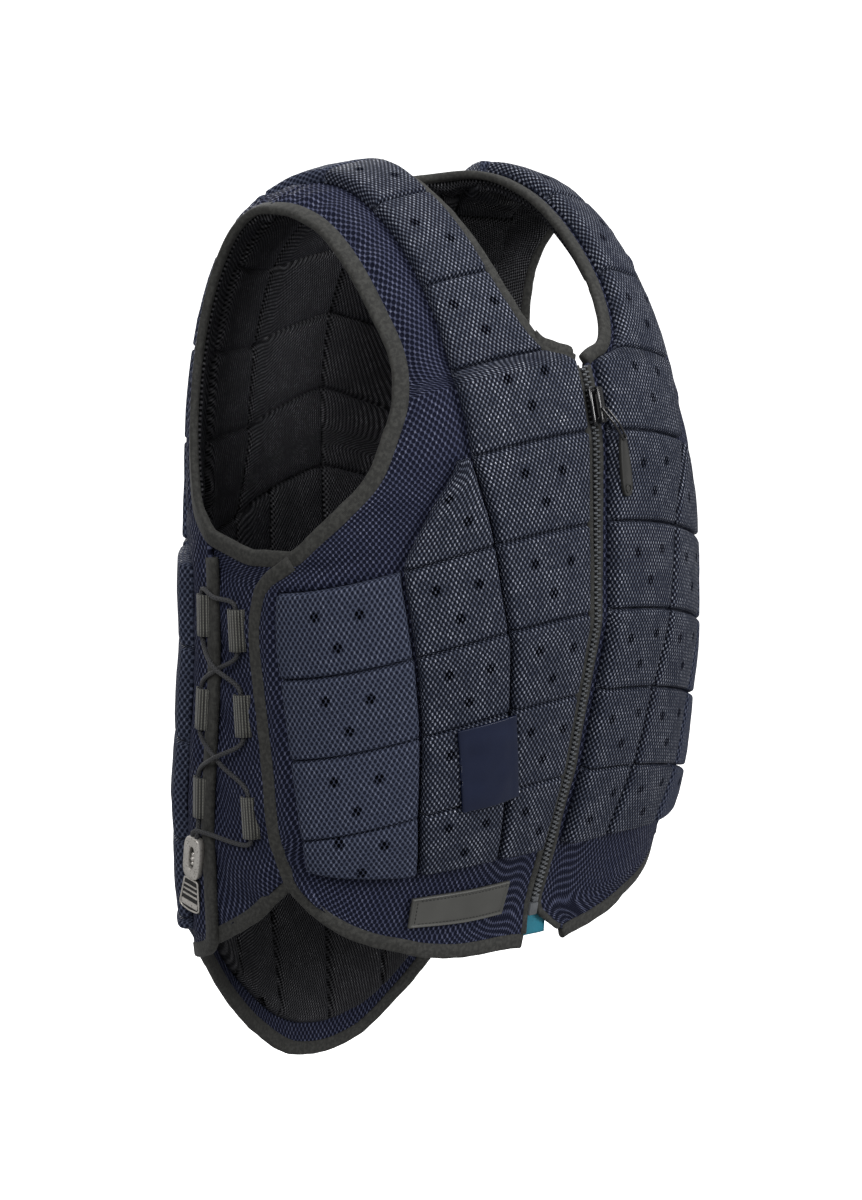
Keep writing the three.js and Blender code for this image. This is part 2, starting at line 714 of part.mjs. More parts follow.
// A gusset's grid has five columns: under the front edge, at it, on the form between the two
// edges, at the back edge and under that.
function gussetGrid(front, back) {
  const first = frontRow(FRONT_ARMHOLE_END);
  const edge = column(FRONT_COLUMNS, "outer");
  const down = (grid, j, share) => grid[j].map((node, k) => between(node, grid[j + 1][k], share));
  return GUSSET_ROWS.map(({ front: f, back: b, frontDown = 0, backDown = 0, dip = 0 }) => {
    const frontNodes = down(front, first + f, frontDown);
    const backNodes = down(back, BACK_ARMHOLE_END + b, backDown);
    const [frontOut, backOut] = [frontNodes[edge], backNodes[BACK_WIDTH]];
    const middle = new Node(
      (frontOut.angle + backOut.angle) / 2,
      (frontOut.z + backOut.z) / 2 - dip * LENGTH,
    );
    return [
      between(frontOut, frontNodes[edge - 1], TUCK),
      frontOut,
      middle,
      backOut,
      between(backOut, backNodes[BACK_WIDTH - 1], BACK_TUCK),
    ];
  });
}

// Trim along the edges

function bindings(name, hand, front, back, gusset) {
  const outer = column(FRONT_COLUMNS, "outer");
  const end = frontRow(FRONT_ARMHOLE_END);
  const armhole = [];
  for (let j = 0; j <= end; j++) armhole.push([front[j][outer], COVER_LAYER]);
  armhole.push([gusset[0][GUSSET_MIDDLE], GUSSET_LAYER]);
  for (let j = BACK_ARMHOLE_END; j > 0; j--) armhole.push([back[j][BACK_WIDTH], COVER_LAYER]);
  place("armhole_binding_" + name, binding(armhole, { closed: true, hand }), "tape");

  const hem = [[between(front[end][outer], front[end + 1][outer], HEM_START), COVER_LAYER]];
  for (let j = end + 1; j < FRONT_ROWS.length; j++) hem.push([front[j][outer], COVER_LAYER]);
  for (let k = outer - 1; k >= 0; k--) hem.push([front[FRONT_LAST][k], COVER_LAYER]);
  place("front_hem_binding_" + name, binding(hem, { hand }), "tape");

  const low = gusset[gusset.length - 1];
  const side = low.slice(0, -1).map((node) => [node, GUSSET_LAYER]);
  place("side_hem_binding_" + name, binding(side, { hand: -hand }), "tape");
}

function neckBinding(front, back) {
  const top = frontRow(ZIP_TOP);
  const inner = column(FRONT_COLUMNS, "inner");
  const neck = column(BACK_COLUMNS, "c2");
  const half = (side) => {
    const up = [];
    for (let j = top; j >= 0; j--) up.push([front[side][j][inner], COVER_LAYER]);
    for (let k = neck - 1; k >= 0; k--) up.push([back[side][0][k], COVER_LAYER]);
    return up;
  };
  const path = [...half("right"), ...half("left").reverse().slice(1)];
  place("neck_binding", binding(path, { hand: 1 }), "tape");
}

function tailBinding(back) {
  const half = (side) => back[side][BACK_LAST].map((node) => [node, COVER_LAYER]);
  const path = [...half("right").reverse(), ...half("left").slice(1)];
  place("tail_binding", binding(path, { hand: -1 }), "tape");
}

// Zip

function zip() {
  const rows = FRONT_ROWS.filter((row) => row.zip).map((row) => row.at);
  rows[0] += ZIP_START;
  rows[rows.length - 1] -= ZIP_END;
  const grid = (half) =>
    rows.map((at) => {
      const z = -LENGTH * at;
      const angle = angleFor(half, z);
      return [new Node(angle, z), new Node(0, z), new Node(-angle, z)];
    });
  const outside = COVER_LAYER.middle + ZIP_TAPE / 2;
  const tape = sheet(grid(ZIP_GAP / 2 - FIT), { flat: outside, base: outside - ZIP_TAPE });
  place("zip_tape", tape, "zip");
  const teeth = sheet(grid(ZIP_CHAIN / 2), { flat: outside + FIT, base: outside + FIT + ZIP_TEETH });
  place("zip_teeth", teeth, "zip");

  // The slider is drawn from the side: a plate on the teeth with a bridge over it, which
  // leaves a window for the pull.
  const { width, length, plate, bridge, bar } = SLIDER;
  const profile = new THREE.Shape([
    new THREE.Vector2(-length / 2, 0),
    new THREE.Vector2(length / 2, 0),
    new THREE.Vector2(length / 2, plate),
    new THREE.Vector2(length / 2 - bar, plate + bridge),
    new THREE.Vector2(bar - length / 2, plate + bridge),
    new THREE.Vector2(-length / 2, plate),
  ]);
  const [low, high] = [plate + FIT, plate + bridge - bar];
  profile.holes.push(
    new THREE.Path([
      new THREE.Vector2(2 * bar - length / 2, low),
      new THREE.Vector2(2 * bar - length / 2, high),
      new THREE.Vector2(length / 2 - 2 * bar, high),
      new THREE.Vector2(length / 2 - 2 * bar, low),
    ]),
  );
  const body = new THREE.ExtrudeGeometry(profile, { depth: width, bevelEnabled: false });
  body.translate(0, 0, -width / 2);
  body.rotateX(Math.PI / 2);
  body.rotateZ(Math.PI / 2);
  const z = -LENGTH * SLIDER_AT;
  const node = new Node(0, z);
  const above = new Node(0, z + length).point.sub(node.point);
  const slider = place("zip_slider", body, "slider");
  seat(slider, node.at(outside + ZIP_TEETH + 2 * FIT), node.normal, above);

  // The pull hangs from the bridge and lies on the blocks beside the zip.
  const outline = new THREE.Shape();
  const r = PULL.width / 2;
  outline.moveTo(-PULL.top / 2, PULL.length / 2);
  outline.lineTo(-r, r - PULL.length / 2);
  outline.absarc(0, r - PULL.length / 2, r, Math.PI, 2 * Math.PI, false);
  outline.lineTo(PULL.top / 2, PULL.length / 2);
  const hole = new THREE.Path();
  hole.absarc(0, r - PULL.length / 2, PULL.hole, 0, 2 * Math.PI, true);
  outline.holes.push(hole);
  const tab = new THREE.ExtrudeGeometry(outline, {
    depth: PULL.thick,
    bevelEnabled: false,
    curveSegments: 8,
  });
  const level = -LENGTH * PULL_AT.at;
  const spot = new Node(-angleFor(PULL_AT.across, level), level);
  const up = new THREE.Vector3(-PULL_AT.lean, 0, 1);
  seat(place("zip_pull", tab, "rubber"), spot.at(FIT), spot.normal, up);
}

// Webbing loops, laces and cord locks at the sides

// A loop is a short tunnel of webbing: two sewn feet and a raised middle.
function loopGeometry() {
  const { width, length, wall, inside, foot, lean } = LOOP;
  const half = width / 2;
  const top = inside + wall;
  const corners = [
    [-half - foot, 0],
    [-half + wall, 0],
    [-half + wall + lean, inside],
    [half - wall - lean, inside],
    [half - wall, 0],
    [half + foot, 0],
    [half + foot, wall],
    [half, wall],
    [half - wall, top],
    [-half + wall, top],
    [-half, wall],
    [-half - foot, wall],
  ];
  const shape = new THREE.Shape(corners.map(([x, y]) => new THREE.Vector2(x, y)));
  const made = new THREE.ExtrudeGeometry(shape, { depth: length, bevelEnabled: false });
  // Drawn upright, the tunnel lies along the panel.
  made.translate(0, 0, -length / 2);
  made.rotateX(Math.PI / 2);
  return made;
}

function sideLacing(name, hand, back, gusset) {
  const outward = { back: COVER_OUT + PAD_FIT, front: GUSSET_OUT + PAD_FIT };
  const backGrid = back.map((row) => [row[BACK_WIDTH], row[BACK_WIDTH - 1]]);
  const spots = {
    back: LOOPS_BACK.map((s) => spotOn(backGrid, s.row, 0, s.down, s.across, outward.back)),
    front: LOOPS_FRONT.map((s) => spotOn(gusset, s.row, 1, s.down, s.across, outward.front)),
  };
  for (const [edge, list] of Object.entries(spots)) {
    list.forEach((spot, i) => {
      const loop = place(`loop_${edge}_${name}_${i + 1}`, loopGeometry(), "webbing");
      seat(loop, spot.point, spot.normal, spot.up);
    });
  }

  // The cord lock: an oblong metal ring with the ribbed release tab below it.
  const { width, length, thick, slot, slotLength, cut, lift } = LOCK;
  const at = spotOn(backGrid, LOCK_AT.row, 0, LOCK_AT.down, LOCK_AT.across, outward.back + lift);
  const lean = at.up.clone().applyAxisAngle(at.normal, -hand * LOCK_AT.lean);
  const oblong = (w, l, corner) => {
    const points = [
      [-w / 2 + corner, l / 2],
      [-w / 2, l / 2 - corner],
      [-w / 2, corner - l / 2],
      [-w / 2 + corner, -l / 2],
      [w / 2 - corner, -l / 2],
      [w / 2, corner - l / 2],
      [w / 2, l / 2 - corner],
      [w / 2 - corner, l / 2],
    ];
    return points.map(([x, y]) => new THREE.Vector2(x, y));
  };
  const ring = new THREE.Shape(oblong(width, length, cut));
  ring.holes.push(new THREE.Path(oblong(slot, slotLength, slot / 3)));
  const plate = new THREE.ExtrudeGeometry(ring, { depth: thick, bevelEnabled: false });
  seat(place("cord_lock_" + name, plate, "metal"), at.point, at.normal, lean);
  const tabShape = new THREE.Shape([
    new THREE.Vector2(-TAB.neck / 2, 0),
    new THREE.Vector2(-TAB.width / 2, -TAB.length),
    new THREE.Vector2(TAB.width / 2, -TAB.length),
    new THREE.Vector2(TAB.neck / 2, 0),
  ]);
  const tab = new THREE.ExtrudeGeometry(tabShape, { depth: TAB.thick, bevelEnabled: false });
  const foot = at.point.clone().addScaledVector(lean, -(length / 2 + FIT));
  seat(place("cord_lock_tab_" + name, tab, "metal"), foot, at.normal, lean);

  // The lace runs through every loop and crosses between the rows. Both ends reach the lock.
  const core = LOOP.inside - LACE.radius - FIT;
  const through = (spot, way) => {
    const end = LOOP.length / 2 + LACE.slack;
    const point = (share) =>
      spot.point.clone().addScaledVector(spot.up, way * end * share).addScaledVector(spot.normal, core);
    return [point(1), point(-1)];
  };
  const crossing = (a, b, hop) => {
    const normal = spots.front[1].normal;
    return [a.clone().lerp(b, 0.5).addScaledVector(normal, hop)];
  };
  const [b1, b2, b3] = spots.back;
  const [f1, f2, f3] = spots.front;
  const topOfLock = at.point
    .clone()
    .addScaledVector(lean, length / 2 + FIT)
    .addScaledVector(at.normal, thick / 2);
  const aside = lean.clone().cross(at.normal).normalize();
  const end = (way, above) =>
    topOfLock.clone().addScaledVector(aside, hand * way * LACE.apart).addScaledVector(lean, above);
  const order = [
    { points: through(b3, -1), hop: LACE.high },
    { points: through(f2, -1), hop: LACE.high },
    { points: through(b1, -1), hop: LACE.low },
    { points: through(f1, 1), hop: LACE.low },
    { points: through(b2, 1), hop: LACE.low },
    { points: through(f3, 1) },
  ];
  const path = [end(1, 0), end(1, LACE.over)];
  order.forEach((stop, i) => {
    path.push(...stop.points);
    const next = order[i + 1];
    if (next) path.push(...crossing(stop.points[1], next.points[0], stop.hop));
  });
  path.push(end(-1, LACE.over), end(-1, 0));
  place("lace_" + name, tube(path, LACE.radius, LACE.sides), "lace");
}

// Small pieces on the front

// A band across the first two columns of blocks, for a strap to run under. Its lower end
// drifts some degrees towards the zip.
function strapKeeper() {
  const { top, bottom, angles, drift } = KEEPER_AT;
  const rows = [0, 1 / 3, 2 / 3, 1].map((share) => mix(top, bottom, share));
  const grid = rows.map((at, j) =>
    angles.map((angle) => new Node(angle - (drift * j) / (rows.length - 1), -LENGTH * at)),
  );
  place("strap_keeper", sheet(grid, { flat: PAD_FIT, base: PAD_FIT + KEEPER }), "leather");
}

// A rubber label on the plain margin under the blocks.
function labelPatch(front) {
  const [k0, row] = [column(FRONT_COLUMNS, "padIn"), FRONT_LAST - 2];
  const along = (k, share) => between(front[row][k], front[row + 1][k], share);
  const { top, bottom, start, end } = LABEL_AT;
  const grid = [top, bottom].map((share) => {
    const [a, b, c] = [k0, k0 + 1, k0 + 2].map((k) => along(k, share));
    return [between(a, b, start), b, between(b, c, end)];
  });
  const under = COVER_OUT + PAD_FIT + FIT;
  place("label_patch", sheet(grid, { flat: under, base: under + LABEL }), "rubber");
}

// A woven tag that hangs behind the lower end of the zip.
function innerTag() {
  const { at, angle } = TAG_AT;
  const z = -LENGTH * at;
  const node = new Node(angle, z);
  const box = new THREE.BoxGeometry(TAG.width, TAG.length, TAG.thick);
  const tag = place("inner_tag", box, "tag");
  const depth = COVER_IN - FIT - TAG.thick / 2;
  seat(tag, node.at(depth), node.normal, new Node(angle, z + TAG.length).point.sub(node.point));
}

const front = { right: frontGrid(1), left: frontGrid(-1) };
const back = { right: backHalf(1), left: backHalf(-1) };
for (const name of ["right", "left"]) frontPanel(name, front[name]);
backPanel(back.right, back.left);
for (const [name, side] of Object.entries({ right: 1, left: -1 })) {
  const gusset = gussetGrid(front[name], back[name]);
  place("side_gusset_" + name, sheet(gusset, { flat: GUSSET_OUT, base: GUSSET_OUT - GUSSET }), "mesh");
  bindings(name, side, front[name], back[name], gusset);
  sideLacing(name, side, back[name], gusset);
}
neckBinding(front, back);
tailBinding(back);
zip();
strapKeeper();
labelPatch(front.right);
innerTag();

// The origin moves from the shoulder top to the underside of the shoulder lining, at the
// middle of a shoulder.
const strapEdges = ["inner", "outer"].map((name) => FRONT_ROWS[0].angle[column(FRONT_COLUMNS, name)]);
const shoulder = new Node((strapEdges[0] + strapEdges[1]) / 2, 0);
garment.position.set(0, 0, -shoulder.at(LINING_TOP).z);

export default vest;
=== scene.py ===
import math

import bmesh
import bpy
import numpy as np
from mathutils import Matrix, Vector, noise


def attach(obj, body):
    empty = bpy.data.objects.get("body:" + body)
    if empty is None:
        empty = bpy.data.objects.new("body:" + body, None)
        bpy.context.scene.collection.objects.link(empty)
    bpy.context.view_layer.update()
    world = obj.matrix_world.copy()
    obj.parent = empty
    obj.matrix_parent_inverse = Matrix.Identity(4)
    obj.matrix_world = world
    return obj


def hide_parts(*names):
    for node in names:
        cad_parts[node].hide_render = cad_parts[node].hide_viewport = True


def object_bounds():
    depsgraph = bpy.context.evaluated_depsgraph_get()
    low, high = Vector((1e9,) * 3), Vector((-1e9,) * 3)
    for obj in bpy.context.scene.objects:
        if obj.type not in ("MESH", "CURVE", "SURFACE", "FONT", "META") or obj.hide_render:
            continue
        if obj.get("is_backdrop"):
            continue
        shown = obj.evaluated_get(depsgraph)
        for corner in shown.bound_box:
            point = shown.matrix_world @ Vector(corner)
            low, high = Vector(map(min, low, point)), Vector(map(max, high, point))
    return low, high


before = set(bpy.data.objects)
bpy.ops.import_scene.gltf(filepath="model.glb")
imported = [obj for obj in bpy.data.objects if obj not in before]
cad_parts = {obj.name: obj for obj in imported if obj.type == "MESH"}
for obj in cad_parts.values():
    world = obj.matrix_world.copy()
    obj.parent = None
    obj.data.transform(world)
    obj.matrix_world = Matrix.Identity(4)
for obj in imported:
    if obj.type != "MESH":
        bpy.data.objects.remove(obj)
cad_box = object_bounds()

# Camera
# It stands in front of the wearer's right shoulder, a little above the middle of the vest, as
# in the photograph. Sizes in pixels are those of a frame 862 by 1200.
CAMERA_TARGET = Vector((0, 0, -0.2668))
CAMERA_AZIMUTH = math.radians(-44)
CAMERA_ELEVATION = math.radians(7.9)
CAMERA_DISTANCE = 1.8
FRAME_HEIGHT = 1200
FOCAL_PIXELS = 2640
TARGET_OFFSET = 10

lens = bpy.data.cameras.new("camera")
lens.sensor_width = 36
lens.lens = FOCAL_PIXELS / FRAME_HEIGHT * lens.sensor_width
lens.shift_x = -TARGET_OFFSET / FRAME_HEIGHT
camera = bpy.data.objects.new("camera", lens)
away = Vector((
    math.sin(CAMERA_AZIMUTH) * math.cos(CAMERA_ELEVATION),
    -math.cos(CAMERA_AZIMUTH) * math.cos(CAMERA_ELEVATION),
    math.sin(CAMERA_ELEVATION),
))
camera.location = CAMERA_TARGET + away * CAMERA_DISTANCE
camera.rotation_euler = away.to_track_quat("Z", "Y").to_euler()
bpy.context.scene.collection.objects.link(camera)
bpy.context.scene.camera = camera

# Stage
# A white paper sweep closes round the hanging vest and is flat below it. It only shows behind
# the vest and lights nothing. Large soft lamps stand on both sides, above and behind.
FLOOR_LEVEL = -0.86
SWEEP_RADIUS = 6
ROOM_LIGHT = 0.36
LAMPS = {
    "key": {"at": (-2.3, -1.3, 1.2), "size": 1.1, "power": 36},
    "front": {"at": (0.5, -2.5, 0.6), "size": 1.0, "power": 44},
    "top": {"at": (0.1, 0.1, 1.9), "size": 1.6, "power": 26},
    "rear": {"at": (0.9, 2.3, 0.7), "size": 1.6, "power": 22},
}

bm = bmesh.new()
bmesh.ops.create_uvsphere(bm, u_segments=96, v_segments=48, radius=SWEEP_RADIUS)
for vertex in bm.verts:
    vertex.co.z = max(vertex.co.z, FLOOR_LEVEL)
bmesh.ops.reverse_faces(bm, faces=bm.faces)
sweep = bpy.data.objects.new("paper_sweep", bpy.data.meshes.new("paper_sweep"))
bm.to_mesh(sweep.data)
bm.free()
bpy.context.scene.collection.objects.link(sweep)
paper = bpy.data.materials.new("white_paper")
paper.use_nodes = True
paper_shader = paper.node_tree.nodes["Principled BSDF"]
paper_shader.inputs["Base Color"].default_value = (0.9, 0.9, 0.9, 1)
paper_shader.inputs["Roughness"].default_value = 0.9
paper_shader.inputs["Emission Color"].default_value = (1, 1, 1, 1)
paper_shader.inputs["Emission Strength"].default_value = 1.0
sweep.data.materials.append(paper)
sweep.visible_diffuse = False
sweep.visible_glossy = False
sweep.visible_transmission = False
sweep.visible_shadow = False
sweep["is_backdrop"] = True

for name, lamp in LAMPS.items():
    light = bpy.data.lights.new(name, "AREA")
    light.size = lamp["size"]
    light.energy = lamp["power"]
    holder = bpy.data.objects.new(name, light)
    holder.location = lamp["at"]
    holder.rotation_euler = (holder.location - CAMERA_TARGET).to_track_quat("Z", "Y").to_euler()
    bpy.context.scene.collection.objects.link(holder)

sky = bpy.data.worlds.new("studio")
sky.use_nodes = True
sky.node_tree.nodes["Background"].inputs["Color"].default_value = (1, 1, 1, 1)
sky.node_tree.nodes["Background"].inputs["Strength"].default_value = ROOM_LIGHT
bpy.context.scene.world = sky
bpy.context.scene.view_settings.view_transform = "Standard"

# Cloth covers
# Two front panels and one back panel of navy spacer mesh, 4 mm thick. They are cut flat and
# take the shape of the torso. The plain margin round the armholes is puffed and gathered.
MM = 0.001
LENGTH = 520 * MM
TAIL = 120 * MM
HALF_WIDTH = 193 * MM
FRONT_DEPTH = 152 * MM
BACK_DEPTH = 140 * MM
ARC_HEIGHT = 190 * MM
FRONT_DROP = 50 * MM
BACK_DROP = 42 * MM
FRONT_ROUND = 1.8
BACK_ROUND = 2.1
BLOCK = 8.6 * MM
COVER = 3.7 * MM
LINING = 1.6 * MM
LINING_BLOCK = 6.4 * MM
GUSSET = 2.2 * MM
FIT = 0.3 * MM
PAD_FIT = 0.5 * MM
ZIP_GAP = 14 * MM
ZIP_MARGIN = 3.2 * MM
PARTING = 7
COVER_OUT = -(BLOCK + PAD_FIT)
COVER_IN = COVER_OUT - COVER
COVER_MIDDLE = (COVER_OUT + COVER_IN) / 2
LINING_OUT = COVER_IN - FIT
LINING_IN = LINING_OUT - LINING
GUSSET_OUT = COVER_IN - PAD_FIT - FIT

# Sections of the torso: share of LENGTH down, then shares of the sizes above.
SECTION_AT = [0, 0.365, 0.577, 0.769, 0.962, 1.192]
SECTIONS = {
    "width": [0.974, 1, 0.995, 0.995, 0.974, 0.912],
    "front": [0.987, 0.987, 1, 0.882, 0.678, 0.645],
    "back": [1, 1, 0.986, 0.971, 0.957, 0.9],
    "shift": [0.057, 0, 0, 0.036, 0.057, 0.071],
    "front_drop": [0.9, 1, 0.88, 0.76, 0.64, 0.6],
    "back_drop": [1, 0.86, 0.67, 0.57, 0.48, 0.48],
    "square": [2.15, 2.15, 2.2, 2.4, 2.3, 2.15],
}

# A front panel's rows: share of LENGTH down, whether it starts at the zip, the angle of each
# column in degrees from the front centre, and how far each column is lifted.
FRONT_COLUMNS = ["inner", "pad_in", "ab", "bc", "mid", "pad_out", "outer"]
FRONT_ROWS = [
    (0, False, [12.5, 13.7, 30.5, 33.5, 38, 43, 48.8], None),
    (0.01, False, [13.4, 14.6, 30.5, 33.5, 37.5, 41, 45.5], None),
    (0.038, False, [14.5, 15.6, 30.5, 33.5, 36.5, 39.5, 43], None),
    (0.135, False, [13.7, 14.8, 30.5, 33.5, 36, 38.5, 41.3], None),
    (0.202, False, [11.2, 12.4, 30.5, 33.5, 35.8, 38, 40], None),
    (0.235, False, [7.5, 8.9, 30.5, 33.5, 36, 38.4, 40.8], None),
    (0.252, True, [2, 3, 30.2, 33.3, 36, 38.8, 41.6], None),
    (0.288, True, [2, 3, 29.6, 33, 37, 41, 45], None),
    (0.338, True, [2, 3, 29, 32.4, 39, 45, 50.5], None),
    (0.366, True, [2, 3, 27.8, 35.3, 43, 51, 57.5], None),
    (0.391, True, [2, 3, 26.6, 38.6, 48, 57.5, 64.5], None),
    (0.416, True, [2, 3, 25.3, 41.6, 53, 64.5, 71], None),
    (0.452, True, [2, 3, 24, 44.5, 60, 75.5, 81], None),
    (0.51, True, [2, 3, 22.5, 43.2, 59.5, 76, 83], None),
    (0.562, True, [2, 3, 21, 42, 58.5, 75, 82.2], None),
    (0.667, True, [2, 3, 17.5, 38, 55, 71.5, 79], None),
    (0.773, True, [2, 3, 14.5, 35, 51, 67, 75.5], None),
    (0.875, True, [2, 3, 12.5, 32.5, 49, 64.5, 73.5], [0, 0, 0.004, 0.017, 0.037, 0.06, 0.085]),
    (0.956, True, [2, 3, 13, 32, 46, 59, 69], [0, 0, 0.004, 0.025, 0.054, 0.089, 0.127]),
    (1, True, [2, 3, 16, 31, 42.5, 54, 63.5], [0, 0.002, 0.012, 0.04, 0.069, 0.107, 0.144]),
]
# Half of the back panel: how far each column lies down, as shares of LENGTH, or of TAIL below
# the front's length, and the angles from the spine at 180 to the side.
BACK_COLUMNS = ["centre", "m1", "c1", "m2", "c2", "c3", "pad_out", "outer"]
LOWER_BACK = [180, 172.3, 164.5, 156.5, 148.5, 130, 113, 100]
BACK_ROWS = [
    (False, [0.017, 0.015, 0.01, 0.004, 0, 0, 0, 0], [180, 176, 173, 170, 167.5, 150, 138, 131.2]),
    (False, [0.033, 0.03, 0.025, 0.018, 0.012, 0.007, 0.006, 0.007],
     [180, 175, 170.5, 166.5, 163, 147, 138.5, 130.5]),
    (False, [0.055, 0.053, 0.05, 0.044, 0.037, 0.022, 0.02, 0.024],
     [180, 174, 168.5, 164, 159.5, 143.5, 136.5, 129.5]),
    (False, [0.1, 0.104, 0.108, 0.113, 0.117, 0.088, 0.075, 0.073],
     [180, 174, 168, 162.5, 157, 138, 133.5, 129]),
    (False, [0.15, 0.155, 0.162, 0.168, 0.173, 0.143, 0.131, 0.128],
     [180, 174, 168, 162.5, 157, 136.5, 132, 127.5]),
    (False, [0.198, 0.206, 0.213, 0.22, 0.227, 0.204, 0.194, 0.192],
     [180, 174, 168, 162.5, 157, 135, 130.5, 125.5]),
    (False, [0.308, 0.317, 0.327, 0.335, 0.342, 0.323, 0.315, 0.313],
     [180, 174, 168, 162.5, 157, 133.5, 126, 118]),
    (False, [0.362, 0.371, 0.381, 0.39, 0.398, 0.383, 0.373, 0.371],
     [180, 173.3, 166.7, 160.5, 154.5, 132.2, 121, 111.5]),
    (False, [0.39, 0.399, 0.409, 0.418, 0.426, 0.413, 0.402, 0.398],
     [180, 172.8, 165.7, 159, 152.7, 131, 115.5, 101.5]),
    (False, [0.417, 0.426, 0.435, 0.444, 0.452, 0.45, 0.448, 0.446],
     [180, 172.4, 165, 157.8, 151, 130, 113, 100]),
    (False, [0.529, 0.537, 0.546, 0.554, 0.562, 0.563, 0.562, 0.562], LOWER_BACK),
    (False, [0.644, 0.653, 0.662, 0.669, 0.677, 0.685, 0.688, 0.688], LOWER_BACK),
    (False, [0.769, 0.777, 0.785, 0.793, 0.802, 0.815, 0.823, 0.823], LOWER_BACK),
    (True, [-0.46, -0.43, -0.4, -0.36, -0.33, -0.29, -0.3, -0.35], LOWER_BACK),
    (True, [0.2, 0.19, 0.15, 0.09, 0, -0.2, -0.27, -0.33], LOWER_BACK),
    (True, [0.85, 0.82, 0.72, 0.54, 0.34, -0.12, -0.24, -0.31], LOWER_BACK),
    (True, [1, 0.965, 0.85, 0.68, 0.47, 0.01, -0.13, -0.25], LOWER_BACK),
]
FRONT_LINES = [0, 2, 3, 5, 8, 12, 14, 15, 16, 17]
FRONT_ARMHOLE_END = 11
FRONT_ZIP_TOP = 6
BACK_ARMHOLE_END = 8
BACK_SIDE = len(BACK_COLUMNS) - 1


def section_at(level):
    """The sizes of the torso at some heights, which are 0 or less."""
    at = -level / LENGTH
    size = {name: np.interp(at, SECTION_AT, shares) for name, shares in SECTIONS.items()}
    size["width"] *= HALF_WIDTH
    size["front"] *= FRONT_DEPTH
    size["back"] *= BACK_DEPTH
    size["shift"] *= BACK_DEPTH
    size["front_drop"] *= FRONT_DROP
    size["back_drop"] *= BACK_DROP
    return size


def squared(value, power):
    """A sine or cosine pulled towards the corners of a squarer section."""
    return np.sign(value) * np.abs(value) ** (2 / power)


def arch(level, roundness):
    """How deep the torso is under the shoulder top, as a share of its full depth."""
    t = np.clip(1 + level / ARC_HEIGHT, 0, 1)
    return (1 - t ** roundness) ** (1 / roundness)


def on_torso(angle, level):
    """Points over the outside of the blocks, at angles in degrees and heights at the centre."""
    size = section_at(level)
    sine, cosine = np.sin(np.radians(angle)), np.cos(np.radians(angle))
    front, back = size["front"] * arch(level, FRONT_ROUND), size["back"] * arch(level, BACK_ROUND)
    depth = np.where(cosine > 0, front, back)
    side = squared(sine, size["square"])
    facing = (1 + cosine) / 2
    drop = size["back_drop"] + (size["front_drop"] - size["back_drop"]) * facing
    return np.stack([
        -size["width"] * side,
        size["shift"] - (depth + FIT) * squared(cosine, size["square"]),
        level - drop * side ** 2,
    ], axis=-1)


def unit(vectors):
    return vectors / np.maximum(np.linalg.norm(vectors, axis=-1, keepdims=True), 1e-12)


def outward(angle, level):
    """The outward directions at those points. The ridge of the shoulder points up."""
    turn, step = 0.5, 0.5 * MM
    low = np.minimum(level, -step)
    across = on_torso(angle + turn, low) - on_torso(angle - turn, low)
    up = on_torso(angle, np.minimum(0, low + step)) - on_torso(angle, low - step)
    normal = unit(np.cross(across, up))
    from_middle = on_torso(angle, level) + [0, 0, ARC_HEIGHT]
    normal = np.where(np.sum(normal * from_middle, axis=-1, keepdims=True) < 0, -normal, normal)
    ridge = np.stack([normal[..., 0], 0 * level, normal[..., 2]], axis=-1)
    return np.where((level > -1e-7)[..., None], unit(ridge), normal)


def angle_at(x, level):
    """The angle at which the torso is a given distance from the centre line."""
    size = section_at(level)
    return np.degrees(np.arcsin((x / size["width"]) ** (size["square"] / 2)))


def smooth_between(places, values, x):
    """Values at x on smooth curves through values at places, which never overshoot."""
    step = np.diff(places)[:, None]
    slope = np.diff(values, axis=0) / step
    first, last = slope[:-1], slope[1:]
    w1, w2 = 2 * step[1:] + step[:-1], step[1:] + 2 * step[:-1]
    same = first * last > 0
    harmonic = (w1 + w2) / (w1 / np.where(same, first, 1) + w2 / np.where(same, last, 1))
    slopes = np.concatenate([slope[:1], np.where(same, harmonic, 0), slope[-1:]])
    i = np.clip(np.searchsorted(places, x, side="right") - 1, 0, len(places) - 2)
    n = np.arange(len(x)) if values.shape[1] > 1 else np.zeros(len(x), int)
    h = step[i, 0]
    t = (x - places[i]) / h
    a, b = values[i, n], values[i + 1, n]
    p, q = slopes[i, n] * h, slopes[i + 1, n] * h
    return a + p * t + (3 * (b - a) - 2 * p - q) * t ** 2 + (2 * (a - b) + p + q) * t ** 3


# The origin lies under the shoulder lining, and this is how far the torso's top is above it.
strap_middle = np.array([(FRONT_ROWS[0][2][0] + FRONT_ROWS[0][2][-1]) / 2])
ridge_level = np.zeros(1)
lining_top = LINING_IN - LINING_BLOCK
under_shoulder = on_torso(strap_middle, ridge_level) + outward(strap_middle, ridge_level) * lining_top
LIFT = -under_shoulder[0, 2]


